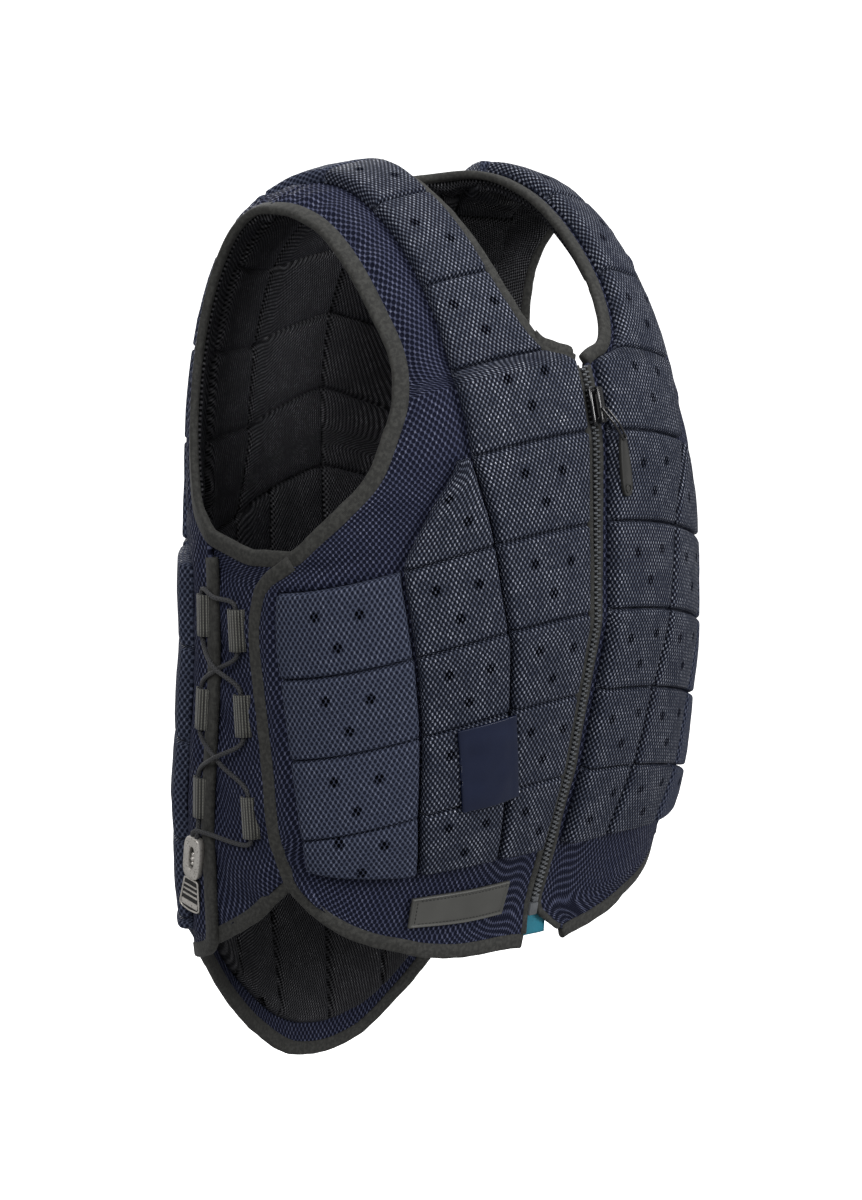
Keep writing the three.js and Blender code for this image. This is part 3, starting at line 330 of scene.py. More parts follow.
class Panel:
    """A cut piece of cloth: rows and columns of nodes, each an angle and a height."""

    def __init__(self, angles, levels, plumb=0):
        self.angles = np.array(angles, float)
        falls = -np.array(levels, float) / ARC_HEIGHT
        # Heights are kept as a reach that grows evenly along the curve over the shoulder.
        self.reach = np.where(falls < 1, np.sqrt(np.maximum(falls, 0)), (falls + 1) / 2)
        self.down = self.reach[:, plumb]
        steps = np.mean(np.abs(np.diff(self.angles, axis=1)), axis=0)
        self.across = np.concatenate([[0], np.cumsum(steps)])

    def spot(self, column, row):
        """Angles and heights at columns and rows, which may lie between the nodes."""
        column, row = np.asarray(column, float), np.asarray(row, float)
        x = np.interp(column, np.arange(len(self.across)), self.across)
        t = np.interp(row, np.arange(len(self.down)), self.down)
        at_row = lambda values: np.array([
            smooth_between(self.down, values[:, [k]], t) for k in range(values.shape[1])
        ])
        angle = smooth_between(self.across, at_row(self.angles), x)
        reach = np.maximum(smooth_between(self.across, at_row(self.reach), x), 0)
        fall = np.where(reach < 1, reach ** 2, 2 * reach - 1)
        return angle, -fall * ARC_HEIGHT

    def place(self, column, row, depth=0.0):
        """Points at columns, rows and depths, with their outward directions."""
        angle, level = self.spot(column, row)
        normal = outward(angle, level)
        point = on_torso(angle, level) + normal * np.reshape(depth, (-1, 1)) + [0, 0, LIFT]
        return point, normal


def front_panel(side):
    angles, levels = [], []
    for at, zipped, row, rise in FRONT_ROWS:
        level = -LENGTH * (at - np.array(rise or [0] * len(row)))
        row = np.array(row, float)
        if zipped:
            row[0] = angle_at(ZIP_GAP / 2, level[:1])[0]
            row[1] = angle_at(ZIP_GAP / 2 + ZIP_MARGIN, level[1:2])[0]
        if side < 0 and at == FRONT_ROWS[-1][0]:
            row[:2] += PARTING
        angles.append(side * row)
        levels.append(level)
    return Panel(angles, levels)


def back_panel():
    angles, levels = [], []
    for tail, fall, row in BACK_ROWS:
        fall, row = np.array(fall, float), np.array(row, float)
        level = -LENGTH - TAIL * fall if tail else -LENGTH * fall
        angles.append(np.concatenate([row[::-1], 360 - row[1:]]))
        levels.append(np.concatenate([level[::-1], level[1:]]))
    return Panel(angles, levels, plumb=BACK_SIDE)


FRONT = {"right": front_panel(1), "left": front_panel(-1)}
BACK = back_panel()


class Pattern:
    """A fine grid over part of a panel, with lines drawn close beside each cut."""

    def __init__(self, panel, columns, rows, near=(0,), step=6 * MM):
        self.panel = panel
        self.columns, self.rows = columns, rows
        self.c = self.lines(columns, True, near, step)
        self.r = self.lines(rows, False, near, step)
        column, row = np.meshgrid(self.c, self.r)
        self.shape = column.shape
        self.column, self.row = column.ravel(), row.ravel()
        surface, normal = panel.place(self.column, self.row)
        self.surface = surface.reshape(*self.shape, 3)
        self.normal = normal.reshape(*self.shape, 3)
        widths = np.linalg.norm(np.diff(self.surface, axis=1), axis=-1)
        heights = np.linalg.norm(np.diff(self.surface, axis=0), axis=-1)
        self.u = np.concatenate([np.zeros((len(self.r), 1)), np.cumsum(widths, axis=1)], axis=1)
        self.v = np.concatenate([np.zeros((1, len(self.c))), np.cumsum(heights, axis=0)])

    def lines(self, cuts, across, near, step):
        """Places between the cuts, close together beside each of them."""
        near = np.array(near)
        made = []
        for a, b in zip(cuts, cuts[1:]):
            fine = np.linspace(a, b, 25)
            fixed = np.linspace(self.rows[0], self.rows[-1], 5) if across else self.columns
            sizes = []
            for other in fixed:
                still = np.full(25, float(other))
                ends = (fine, still) if across else (still, fine)
                walk = self.panel.place(*ends)[0]
                gaps = np.linalg.norm(np.diff(walk, axis=0), axis=1)
                sizes.append(np.concatenate([[0], np.cumsum(gaps)]))
            walked = np.mean(sizes, axis=0)
            size = walked[-1]
            edge = near[near < size * 0.45]
            inner = max(1, round((size - 2 * edge[-1]) / step))
            middle = np.linspace(edge[-1], size - edge[-1], inner + 1)[1:-1]
            stops = np.concatenate([edge, middle, size - edge[::-1]])
            made.extend(np.interp(stops, walked, fine)[:-1])
        return np.array(made + [cuts[-1]])

    def at(self, cut, across):
        """The index of the line at a cut."""
        return int(np.argmin(np.abs((self.c if across else self.r) - cut)))


def woven(pattern, name, top, bottom, keep=None):
    """A closed piece over a pattern, from its bottom depths to its top depths."""
    rows, columns = pattern.shape
    bm = bmesh.new()
    bmesh.ops.create_grid(bm, x_segments=columns - 1, y_segments=rows - 1, size=0.5)
    cell = lambda co: (round((co.x + 0.5) * (columns - 1)), round((co.y + 0.5) * (rows - 1)))
    if keep:
        gone = []
        for face in bm.faces:
            i, j = np.min([cell(v.co) for v in face.verts], axis=0)
            row = (pattern.r[j] + pattern.r[j + 1]) / 2
            column = (pattern.c[i] + pattern.c[i + 1]) / 2
            if not keep(int(row), int(column)):
                gone.append(face)
        bmesh.ops.delete(bm, geom=gone, context="FACES")
    raised = bmesh.ops.extrude_face_region(bm, geom=bm.faces[:], use_keep_orig=True)
    bmesh.ops.translate(
        bm, vec=(0, 0, 1), verts=[v for v in raised["geom"] if isinstance(v, bmesh.types.BMVert)]
    )
    top = pattern.surface + pattern.normal * np.broadcast_to(top, pattern.shape)[..., None]
    bottom = pattern.surface + pattern.normal * np.broadcast_to(bottom, pattern.shape)[..., None]
    at = []
    for v in bm.verts:
        i, j = cell(v.co)
        at.append((j, i))
        v.co = (top if v.co.z > 0.5 else bottom)[j, i]
    bmesh.ops.recalc_face_normals(bm, faces=bm.faces)
    name += "_look"
    mesh = bpy.data.meshes.new(name)
    bm.to_mesh(mesh)
    bm.free()
    j, i = np.array(at).T
    loops = np.zeros(len(mesh.loops), int)
    mesh.loops.foreach_get("vertex_index", loops)
    uv = np.stack([pattern.u[j, i], -pattern.v[j, i]], axis=-1)[loops]
    mesh.uv_layers.new(name="cloth").data.foreach_set("uv", uv.ravel())
    mesh.shade_smooth()
    piece = bpy.data.objects.new(name, mesh)
    bpy.context.scene.collection.objects.link(piece)
    return piece, j, i


def shown(piece, material, slot, *nodes):
    """Gives a piece its material, and puts it in the place of some CAD nodes. The slot is not used."""
    if material:
        piece.data.materials.append(material)
    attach(piece, "root")
    if nodes:
        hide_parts(*nodes)
    return piece


def hills(points, size, seed=0.0):
    """Smooth uneven heights from -1 to 1, hills of a given size."""
    flat = points.reshape(-1, 3) / size + seed
    return np.array([noise.noise(p) for p in flat.tolist()]).reshape(points.shape[:-1]) * 1.6


class Finish:
    """A material, with short ways to add its nodes."""

    def __init__(self, name):
        self.material = bpy.data.materials.new(name)
        self.material.use_nodes = True
        self.tree = self.material.node_tree
        self.shader = self.tree.nodes["Principled BSDF"]

    def node(self, kind, settings=None, **sockets):
        made = self.tree.nodes.new(kind)
        for key, value in (settings or {}).items():
            setattr(made, key, value)
        for key, value in sockets.items():
            self.feed(made.inputs[int(key[1:]) if key[1:].isdigit() else key.replace("_", " ")], value)
        return made

    def feed(self, socket, value):
        if isinstance(value, bpy.types.NodeSocket):
            self.tree.links.new(value, socket)
        else:
            socket.default_value = value

    def sum(self, operation, a, b=0.0, clamp=False):
        made = self.node("ShaderNodeMath", {"operation": operation, "use_clamp": clamp}, _0=a, _1=b)
        return made.outputs[0]

    def vector(self, operation, a, b=(0, 0, 0)):
        made = self.node("ShaderNodeVectorMath", {"operation": operation}, _0=a, _1=b)
        return made.outputs["Value" if operation == "LENGTH" else "Vector"]

    def step(self, value, low, high):
        """0 below low, 1 above high, smooth between."""
        made = self.node("ShaderNodeMapRange", {"interpolation_type": "SMOOTHSTEP"}, Value=value)
        made.inputs["From Min"].default_value = low
        made.inputs["From Max"].default_value = high
        return made.outputs["Result"]

    def blend(self, factor, a, b):
        made = self.node("ShaderNodeMix", {"data_type": "RGBA"}, _0=factor, _6=a, _7=b)
        return made.outputs[2]

    def cloth(self):
        return self.node("ShaderNodeUVMap", {"uv_map": "cloth"}).outputs["UV"]

    def noise(self, scale, detail=2.0):
        where = self.node("ShaderNodeTexCoord").outputs["Object"]
        made = self.node("ShaderNodeTexNoise", None, Vector=where, Scale=scale, Detail=detail)
        return made.outputs["Fac"]

    def ribs(self, distance, pitch):
        """Even ribs across a distance, from -1 in a furrow to 1 on a rib."""
        return self.sum("SINE", self.sum("MULTIPLY", distance, math.tau / pitch))

    def bump(self, height, distance, strength=1.0):
        made = self.node("ShaderNodeBump", None, Height=height, Distance=distance, Strength=strength)
        self.feed(self.shader.inputs["Normal"], made.outputs["Normal"])

    def surface(self, colour, **constants):
        self.feed(self.shader.inputs["Base Color"], colour)
        for key, value in constants.items():
            self.feed(self.shader.inputs[key.replace("_", " ")], value)
        return self.material

    def lattice(self, where, pitch, shift=(0.0, 0.0), stretch=1.0):
        """Distance to the nearest spot of a staggered knitted lattice, in pitches."""
        place = self.vector("MULTIPLY", where, (1 / pitch, 1 / (pitch * KNIT_TALL), 0))
        found = []
        for row in (0, 0.5):
            moved = self.vector("ADD", place, (shift[0] + row, shift[1] + row, 0))
            local = self.vector("SUBTRACT", self.vector("FRACTION", moved), (0.5, 0.5, 0))
            local = self.vector("MULTIPLY", local, (1, KNIT_TALL / stretch, 0))
            found.append(self.vector("LENGTH", local))
        return self.sum("MINIMUM", *found)


KNIT_TALL = 1.45


def spacer_mesh(name, pitch, hole, thread, knot_glint, deep, uneven, shine, vents=()):
    """Knitted spacer mesh: threads round staggered dark holes, with a raised knot between them, its pale
    colour partly painted glints, brighter in random patches. Vents are holes punched in the foam below, given
    from a block's middle."""
    f = Finish(name)
    where = f.cloth()
    wobble = f.node("ShaderNodeTexNoise", None, Vector=where, Scale=150.0, Detail=1.0).outputs["Color"]
    wobble = f.vector("MULTIPLY", f.vector("SUBTRACT", wobble, (0.5, 0.5, 0.5)), (0.5 * MM, 0.5 * MM, 0))
    where = f.vector("ADD", where, wobble)
    near = f.lattice(where, pitch, stretch=1.25)
    open_ = f.sum("SUBTRACT", 1.0, f.step(near, hole - 0.07, hole + 0.07))
    # Painted highlights: the knots are made paler as glints of light, stronger in random patches and specks;
    # uneven sets how patchy they are.
    glinting_knots = f.sum("SUBTRACT", 1.0, f.step(f.lattice(where, pitch, (0.5, 0.0), 1.5), 0.1, 0.26))
    glint_patches = f.step(f.noise(70.0, 4.0), 0.35, 0.68)
    each = f.step(f.noise(420.0, 1.0), 0.36, 0.66)
    strength = f.sum("ADD", f.sum("MULTIPLY", glint_patches, uneven), 1.0 - uneven)
    strength = f.sum("MULTIPLY", strength, f.sum("ADD", each, 0.35))
    glinting_knots = f.sum("MULTIPLY", glinting_knots, strength, clamp=True)
    fibres = f.noise(1400.0, 2.0)
    colour = f.blend(fibres, thread, [0.45 * c for c in thread[:3]] + [1])
    colour = f.blend(glinting_knots, colour, knot_glint)
    colour = f.blend(open_, colour, deep)
    if vents:
        block = f.node("ShaderNodeUVMap", {"uv_map": "block"}).outputs["UV"]
        nearest = None
        for x, y in vents:
            far = f.vector("LENGTH", f.vector("SUBTRACT", block, (x, y, 0)))
            nearest = far if nearest is None else f.sum("MINIMUM", nearest, far)
        # Painted shade: the mesh over each vent is darkened, and its holes are widened and darkened further,
        # for the shade inside the hole in the foam.
        vent_shade = f.sum("SUBTRACT", 1.0, f.step(nearest, 2.5 * MM, 4.2 * MM))
        colour = f.blend(f.sum("MULTIPLY", vent_shade, 0.4), colour, (0.002, 0.002, 0.004, 1))
        wide = f.sum("SUBTRACT", 1.0, f.step(near, hole, hole + 0.16))
        colour = f.blend(f.sum("MULTIPLY", vent_shade, wide), colour, (0.0006, 0.0006, 0.001, 1))
    relief = f.sum("SUBTRACT", f.sum("ADD", near, glinting_knots), open_)
    f.bump(relief, 0.6 * MM, 0.9)
    gloss = f.sum("SUBTRACT", 0.6, f.sum("MULTIPLY", glinting_knots, 0.3))
    lit = f.sum("MULTIPLY", f.sum("ADD", f.sum("MULTIPLY", glinting_knots, 0.92), 0.08), shine)
    if vents:
        lit = f.sum("MULTIPLY", lit, f.sum("SUBTRACT", 1.0, vent_shade))
    return f.surface(
        colour, Roughness=gloss, Specular_IOR_Level=lit, Sheen_Weight=0.02, Sheen_Roughness=0.5,
        Sheen_Tint=(0.5, 0.55, 0.9, 1),
    )


COVER_MESH = spacer_mesh(
    "air_mesh", pitch=4.1 * MM, hole=0.32, thread=(0.052, 0.060, 0.110, 1), knot_glint=(0.09, 0.1, 0.17, 1),
    deep=(0.007, 0.008, 0.017, 1), uneven=0.6, shine=0.35,
)

# How far the edge tape holds the cloth flat, and how far from there it rises to its full swell.
TAPE_HOLD = 3.4 * MM
TAPE_RISE = 6 * MM


def clear_of_tape(distance):
    """0 where the edge tape holds the cloth flat, and 1 a little further in."""
    return np.clip((distance - TAPE_HOLD) / TAPE_RISE, 0, 1)


def puffed(pattern, edges, height):
    """A swelling between two lines of a pattern, given by their u at each row."""
    left, right = edges
    share = np.clip((pattern.u - left) / np.maximum(right - left, 1e-6), 0, 1)
    return height * np.sin(np.pi * share) ** 0.8


# The columns of blocks on a front panel: the columns they lie between, and their first row.
FRONT_STRIPS = {
    "a": {"from": "pad_in", "to": "ab", "first": 0},
    "b": {"from": "ab", "to": "bc", "first": 8},
    "c": {"from": "bc", "to": "pad_out", "first": 12},
}

# Gathers beside an armhole: the row they lie at, their half width and their depth in mm.
FRONT_GATHERS = [
    {"row": 0.6, "wide": 0.13, "deep": 2.2},
    {"row": 1.25, "wide": 0.16, "deep": 1.8},
    {"row": 2.45, "wide": 0.1, "deep": 2.4},
    {"row": 2.85, "wide": 0.12, "deep": 2.0},
    {"row": 7.1, "wide": 0.3, "deep": 0.8},
    {"row": 9.6, "wide": 0.35, "deep": 1.0},
    {"row": 11.3, "wide": 0.2, "deep": 1.6},
    {"row": 16.6, "wide": 0.16, "deep": 1.6},
    {"row": 17.5, "wide": 0.2, "deep": 1.8},
    {"row": 18.3, "wide": 0.2, "deep": 1.6},
]
BACK_GATHERS = [
    {"row": 0.7, "wide": 0.16, "deep": 2.2},
    {"row": 1.6, "wide": 0.2, "deep": 1.6},
    {"row": 2.7, "wide": 0.2, "deep": 1.6},
    {"row": 4.2, "wide": 0.25, "deep": 1.2},
    {"row": 7.6, "wide": 0.25, "deep": 1.5},
    {"row": 9.4, "wide": 0.2, "deep": 1.4},
    {"row": 10.6, "wide": 0.2, "deep": 1.2},
    {"row": 11.5, "wide": 0.25, "deep": 1.4},
    {"row": 12.5, "wide": 0.25, "deep": 1.2},
]


def gathered(pattern, gathers, share):
    """Folds that run in from the edge tape, deepest where share is 1."""
    rows = pattern.row.reshape(pattern.shape)
    total = np.zeros(pattern.shape)
    for fold in gathers:
        t = (rows - fold["row"]) / fold["wide"]
        total -= fold["deep"] * MM * (np.exp(-t ** 2) - 0.45 * np.exp(-((np.abs(t) - 2.1) ** 2)))
    return total * np.clip(share, 0, 1) ** 0.7


def front_cover(side):
    columns, lines = list(range(len(FRONT_COLUMNS))), list(range(len(FRONT_ROWS)))
    pattern = Pattern(FRONT[side], columns, lines, (0, 1.2 * MM), 4 * MM)
    rows = pattern.row.reshape(pattern.shape)
    column_u = lambda name: pattern.u[:, [pattern.at(FRONT_COLUMNS.index(name), True)]]
    # The plain margin starts where the last column of blocks ends, further out in the lower rows.
    inner = np.where(rows[:, :1] < FRONT_STRIPS["c"]["first"], column_u("bc"), column_u("pad_out"))
    inner = np.where(rows[:, :1] < FRONT_STRIPS["b"]["first"], column_u("ab"), inner)
    outer = column_u("outer")
    below = np.clip((rows - 17) / 3, 0, 1)
    swell = puffed(pattern, (inner, outer), 3.4 * MM) * (1 - below)
    swell += 1.6 * MM * np.sin(np.pi * below) * np.clip((outer - pattern.u) / (12 * MM), 0, 1)
    share = (pattern.u - inner) / np.maximum(outer - inner, 1e-6)
    share = np.where(share > 0.97, 0.97 - (share - 0.97) * 32, share)
    folds = gathered(pattern, FRONT_GATHERS, share)
    free = clear_of_tape(np.minimum(outer - pattern.u, pattern.v[-1:] - pattern.v))
    bare = np.clip(np.clip((pattern.u - inner) / (3 * MM), 0, 1) + below, 0, 1)
    uneven = 0.7 * MM * hills(pattern.surface, 14 * MM)
    top = COVER_OUT + (swell + folds + uneven) * bare * free
    return woven(pattern, "front_cover_" + side, np.maximum(top, COVER_IN + 1.5 * MM), COVER_IN)


def back_cover():
    columns, lines = list(range(2 * BACK_SIDE + 1)), list(range(len(BACK_ROWS)))
    pattern = Pattern(BACK, columns, lines, (0, 1.2 * MM), 4.5 * MM)
    rows = pattern.row.reshape(pattern.shape)
    total = np.full(pattern.shape, COVER_OUT)
    below = np.clip(rows[:, :1] - BACK_ARMHOLE_END, 0, 1)
    for way, edge in ((-1, 0), (1, 2 * BACK_SIDE)):
        pads = [pattern.at(BACK_SIDE + way * BACK_COLUMNS.index(name), True) for name in ("c3", "pad_out")]
        a = pattern.u[:, pads[:1]] * (1 - below) + pattern.u[:, pads[1:]] * below
        b = pattern.u[:, [pattern.at(edge, True)]]
        swell = puffed(pattern, (np.minimum(a, b), np.maximum(a, b)), 3.2 * MM)
        share = np.clip((pattern.u - a) / (b - a), 0, 1)
        free = clear_of_tape(np.minimum(np.abs(b - pattern.u), pattern.v[-1:] - pattern.v))
        swell *= np.clip((16 - rows) / 1.2, 0, 1)
        folds = gathered(pattern, BACK_GATHERS, share)
        uneven = 0.7 * MM * hills(pattern.surface, 14 * MM) * np.clip(share * 5, 0, 1)
        total += np.where((pattern.u - a) / (b - a) > 0, (swell + folds + uneven) * free, 0)
    return woven(pattern, "back_cover", np.maximum(total, COVER_IN + 1.5 * MM), COVER_IN)


for cover, _, _ in (front_cover("right"), front_cover("left"), back_cover()):
    shown(cover, COVER_MESH, "mesh", cover.name.removesuffix("_look"))

# Outer blocks
# Columns of closed-cell foam blocks, 9 mm high, bonded to the cover under a finer grey navy
# mesh. Each column is one sheet of foam, cut into blocks with round shoulders by grooves.
BLOCK_WEB = 1.5 * MM
STRIP_GAP = 1.1 * MM
SIDE_ROUND = 4.6 * MM
GROOVE_ROUND = 2.9 * MM
CROWN = 1.1 * MM
NEAR_EDGE = (0, 0.5 * MM, 1.1 * MM, 1.9 * MM, 3 * MM, 4.6 * MM)
THREE_VENTS = [(-15 * MM, 8 * MM), (14 * MM, 11 * MM), (1 * MM, -10 * MM)]
TWO_VENTS = [(9 * MM, 9 * MM), (-8 * MM, -9 * MM)]
SMALL_BLOCK = 52 * MM
BACK_STRIPS = {
    "upper_inner": {"from": "centre", "to": "c2", "lines": [1, 3, 5, 6, 9]},
    "upper_outer": {"from": "c2", "to": "c3", "lines": [0, 2, 3, 5, 6, 9]},
    "lower_inner": {"from": "centre", "to": "c1", "lines": [9, 10, 11, 12, 13, 15]},
    "lower_middle": {"from": "c1", "to": "c2", "lines": [9, 10, 11, 12, 13, 15]},
    "lower_outer": {"from": "c2", "to": "c3", "lines": [9, 10, 11, 12, 13, 15]},
    "side": {"from": "c3", "to": "pad_out", "lines": [9, 10, 11, 12, 13, 15]},
}
# The two inner front columns get a copy of the mesh with bright knots: painted highlights for the glints of
# the lamps on them.
glinting_looks = dict(
    pitch=3.2 * MM, hole=0.28, thread=(0.032, 0.040, 0.068, 1), knot_glint=(0.25, 0.27, 0.34, 1),
    deep=(0.005, 0.006, 0.011, 1), uneven=0.65, shine=1.0,
)
plain_looks = dict(
    pitch=3.6 * MM, hole=0.26, thread=(0.066, 0.078, 0.122, 1), knot_glint=(0.11, 0.125, 0.185, 1),
    deep=(0.012, 0.014, 0.025, 1), uneven=0.6, shine=0.35,
)
GLINTING_MESH = [
    spacer_mesh("glinting_mesh_three_vents", vents=THREE_VENTS, **glinting_looks),
    spacer_mesh("glinting_mesh_two_vents", vents=TWO_VENTS, **glinting_looks),
]
# The mesh over the outer front blocks and the back is the same cloth with dimmer painted highlights on its
# knots, and it is less glossy.
PLAIN_MESH = [
    spacer_mesh("plain_mesh_three_vents", vents=THREE_VENTS, **plain_looks),
    spacer_mesh("plain_mesh_two_vents", vents=TWO_VENTS, **plain_looks),
]
GLINTING_STRIPS = ("front_pads_a", "front_pads_b")
chance = np.random.default_rng(11)


def rounded(across, along, side_round, groove_round):
    """The height of a block with round shoulders, 0 to 1, from the distances to its edges."""
    x = np.clip(1 - across / side_round, 0, 1)
    y = np.clip(1 - along / groove_round, 0, 1)
    t = np.clip(1 - np.hypot(x, y), 0, 1)
    return np.sqrt(1 - (1 - t) ** 2)


def block_strip(name, panel, first, last, lines):
    pattern = Pattern(panel, [first, last], lines, NEAR_EDGE, 7 * MM)
    # The column of foam stops short of its neighbours on both sides.
    left = pattern.u - pattern.u[:, :1]
    right = pattern.u[:, -1:] - pattern.u
    width = left + right
    pull = STRIP_GAP * (right - left) / width
    sideways = np.gradient(pattern.surface, axis=1)
    pattern.surface = pattern.surface + unit(sideways) * pull[..., None]
    height = np.zeros(pattern.shape)
    block_of = np.zeros(pattern.shape[0] - 1, int)
    for number, (a, b) in enumerate(zip(lines, lines[1:])):
        j0, j1 = pattern.at(a, False), pattern.at(b, False)
        rows = slice(j0, j1 + 1)
        above = pattern.v[rows] - pattern.v[[j0]]
        below = pattern.v[[j1]] - pattern.v[rows]
        along = np.minimum(above, below)
        across = np.minimum(left[rows], right[rows])
        share_x = left[rows] / width[rows]
        share_y = above / np.maximum(above + below, 1e-9)
        dome = np.sin(np.pi * share_x) * np.sin(np.pi * share_y)
        crown = (CROWN + chance.uniform(-0.25, 0.25) * MM) * dome ** 0.6
        tilt = chance.uniform(-0.35, 0.35, 2) * MM
        full = rounded(across, along, SIDE_ROUND, GROOVE_ROUND)
        top = BLOCK - BLOCK_WEB + tilt[0] * (share_x - 0.5) + tilt[1] * (share_y - 0.5)
        height[rows] = np.maximum(height[rows], full * top + crown)
        block_of[j0:j1] = number
    height += 0.28 * MM * hills(pattern.surface, 11 * MM, 3.1) * np.clip(height / BLOCK, 0, 1)
    strip, j, i = woven(pattern, name, -BLOCK + BLOCK_WEB + height, -BLOCK)
    mesh = strip.data
    # Every face belongs to one block, and the vents are placed from that block's middle.
    corners, faces = np.zeros(len(mesh.loops), int), np.zeros(len(mesh.polygons), int)
    mesh.loops.foreach_get("vertex_index", corners)
    mesh.polygons.foreach_get("loop_start", faces)
    top_row = np.minimum(np.minimum.reduceat(j[corners], faces), len(block_of) - 1)
    block = block_of[top_row]
    starts = np.array([pattern.at(line, False) for line in lines])
    owner = np.repeat(block, np.diff([*faces, len(corners)]))
    j, i = j[corners], i[corners]
    middle = (pattern.v[starts[owner], i] + pattern.v[starts[owner + 1], i]) / 2
    local = np.stack([left[j, i] - width[j, 0] / 2, middle - pattern.v[j, i]], axis=-1)
    mesh.uv_layers.new(name="block").data.foreach_set("uv", local.ravel())
    # The knit follows the rounded foam, measured from the middle of each block.
    top = pattern.surface + pattern.normal * height[..., None]
    across = np.linalg.norm(np.diff(top, axis=1), axis=-1)
    across = np.concatenate([np.zeros((len(top), 1)), np.cumsum(across, axis=1)], axis=1)
    across -= across[:, [across.shape[1] // 2]]
    along = np.linalg.norm(np.diff(top, axis=0), axis=-1)
    along = np.concatenate([np.zeros((1, top.shape[1])), np.cumsum(along, axis=0)])
    centre = (starts[owner] + starts[owner + 1]) // 2
    middle = along.shape[1] // 2
    knit = np.stack([across[j, i], along[centre, i] - along[j, i] - along[centre, middle]], axis=-1)
    mesh.uv_layers["cloth"].data.foreach_set("uv", knit.ravel())
    # The inner front strips take the copy with painted highlights.
    for material in GLINTING_MESH if name.startswith(GLINTING_STRIPS) else PLAIN_MESH:
        mesh.materials.append(material)
    mean_width = np.array([width[j0 : j1 + 1].mean() for j0, j1 in zip(starts, starts[1:])])
    mesh.polygons.foreach_set("material_index", (mean_width < SMALL_BLOCK).astype(int)[block])
    shown(strip, None, "block", name)


for side in ("right", "left"):
    for letter, strip in FRONT_STRIPS.items():
        ends = FRONT_COLUMNS.index(strip["from"]), FRONT_COLUMNS.index(strip["to"])
        lines = [line for line in FRONT_LINES if line >= strip["first"]]
        block_strip(f"front_pads_{letter}_{side}", FRONT[side], *ends, lines)
    for part, strip in BACK_STRIPS.items():
        near_spine, far = BACK_COLUMNS.index(strip["from"]), BACK_COLUMNS.index(strip["to"])
        ends = BACK_SIDE + near_spine, BACK_SIDE + far
        if side == "right":
            ends = BACK_SIDE - far, BACK_SIDE - near_spine
        block_strip(f"back_pads_{part}_{side}", BACK, *ends, strip["lines"])

# Quilted lining
# Thin black mesh over the same foam blocks on the inside of each panel, lower and softer
# than the outer ones. It is stitched down along the grooves and stops above the hems.
LINING_SIDE = 5.2 * MM
LINING_NEAR = (0, 1.2 * MM, 2.6 * MM, 4.4 * MM)
LINING_MESH = spacer_mesh(
    "lining_mesh", pitch=2.6 * MM, hole=0.22, thread=(0.045, 0.045, 0.049, 1), knot_glint=(0.1, 0.1, 0.11, 1),
    deep=(0.0005, 0.0005, 0.0006, 1), uneven=0.8, shine=0.7,
)


def lining(name, panel, columns, rows, blocks, keep):
    pattern = Pattern(panel, columns, rows, LINING_NEAR, 9 * MM)
    height = np.zeros(pattern.shape)
    for a, b, first, last in blocks:
        j0, j1 = pattern.at(a, False), pattern.at(b, False)
        i0, i1 = pattern.at(first, True), pattern.at(last, True)
        u, v = pattern.u[j0 : j1 + 1, i0 : i1 + 1], pattern.v[j0 : j1 + 1, i0 : i1 + 1]
        left, right = u - u[:, :1], u[:, -1:] - u
        above, below = v - v[:1], v[-1:] - v
        full = rounded(np.minimum(left, right), np.minimum(above, below), LINING_SIDE, LINING_SIDE)
        bulge = np.sin(np.pi * left / (left + right)) * np.sin(np.pi * above / (above + below))
        height[j0 : j1 + 1, i0 : i1 + 1] = full * (LINING_BLOCK - 0.6 * MM) + 1.2 * MM * bulge ** 0.7
    bare = 1 - np.clip(height / (2 * MM), 0, 1)
    height += (0.6 * bare + 0.35) * MM * (1 + hills(pattern.surface, 12 * MM, 7.7))
    if panel is BACK:
        # The lining is slack at the nape and falls into slanting wrinkles.
        rows = pattern.row.reshape(pattern.shape)
        slack = np.clip((1.9 - rows) / 1.2, 0, 1) * np.clip(rows / 0.15, 0, 1)
        slant = (pattern.u + 1.6 * pattern.v) / (7 * MM) + 2 * hills(pattern.surface, 30 * MM)
        height += slack * MM * (2.2 + 1.9 * np.sin(slant) + hills(pattern.surface, 16 * MM))
    piece, _, _ = woven(pattern, name, LINING_OUT, LINING_IN - height, keep)
    shown(piece, LINING_MESH, "lining", name)


def pairs(lines):
    return list(zip(lines, lines[1:]))


FRONT_LAST = len(FRONT_ROWS) - 1
BACK_LAST = len(BACK_ROWS) - 1
for side in ("right", "left"):
    blocks = [
        (a, b, FRONT_COLUMNS.index(strip["from"]), FRONT_COLUMNS.index(strip["to"]))
        for strip in FRONT_STRIPS.values()
        for a, b in pairs([line for line in FRONT_LINES if line >= strip["first"]])
    ]
    lining(
        "front_lining_" + side, FRONT[side], list(range(len(FRONT_COLUMNS))), list(range(FRONT_LAST)), blocks,
        lambda row, column: column < 5 or row < FRONT_ARMHOLE_END,
    )
blocks = []
for strip in BACK_STRIPS.values():
    near_spine, far = BACK_COLUMNS.index(strip["from"]), BACK_COLUMNS.index(strip["to"])
    for a, b in pairs(strip["lines"]):
        blocks.append((a, b, BACK_SIDE - far, BACK_SIDE - near_spine))
        blocks.append((a, b, BACK_SIDE + near_spine, BACK_SIDE + far))
lining(
    "back_lining", BACK, list(range(2 * BACK_SIDE + 1)), list(range(BACK_LAST)), blocks,
    lambda row, column: row < BACK_ARMHOLE_END or 0 < column < 2 * BACK_SIDE - 1,
)

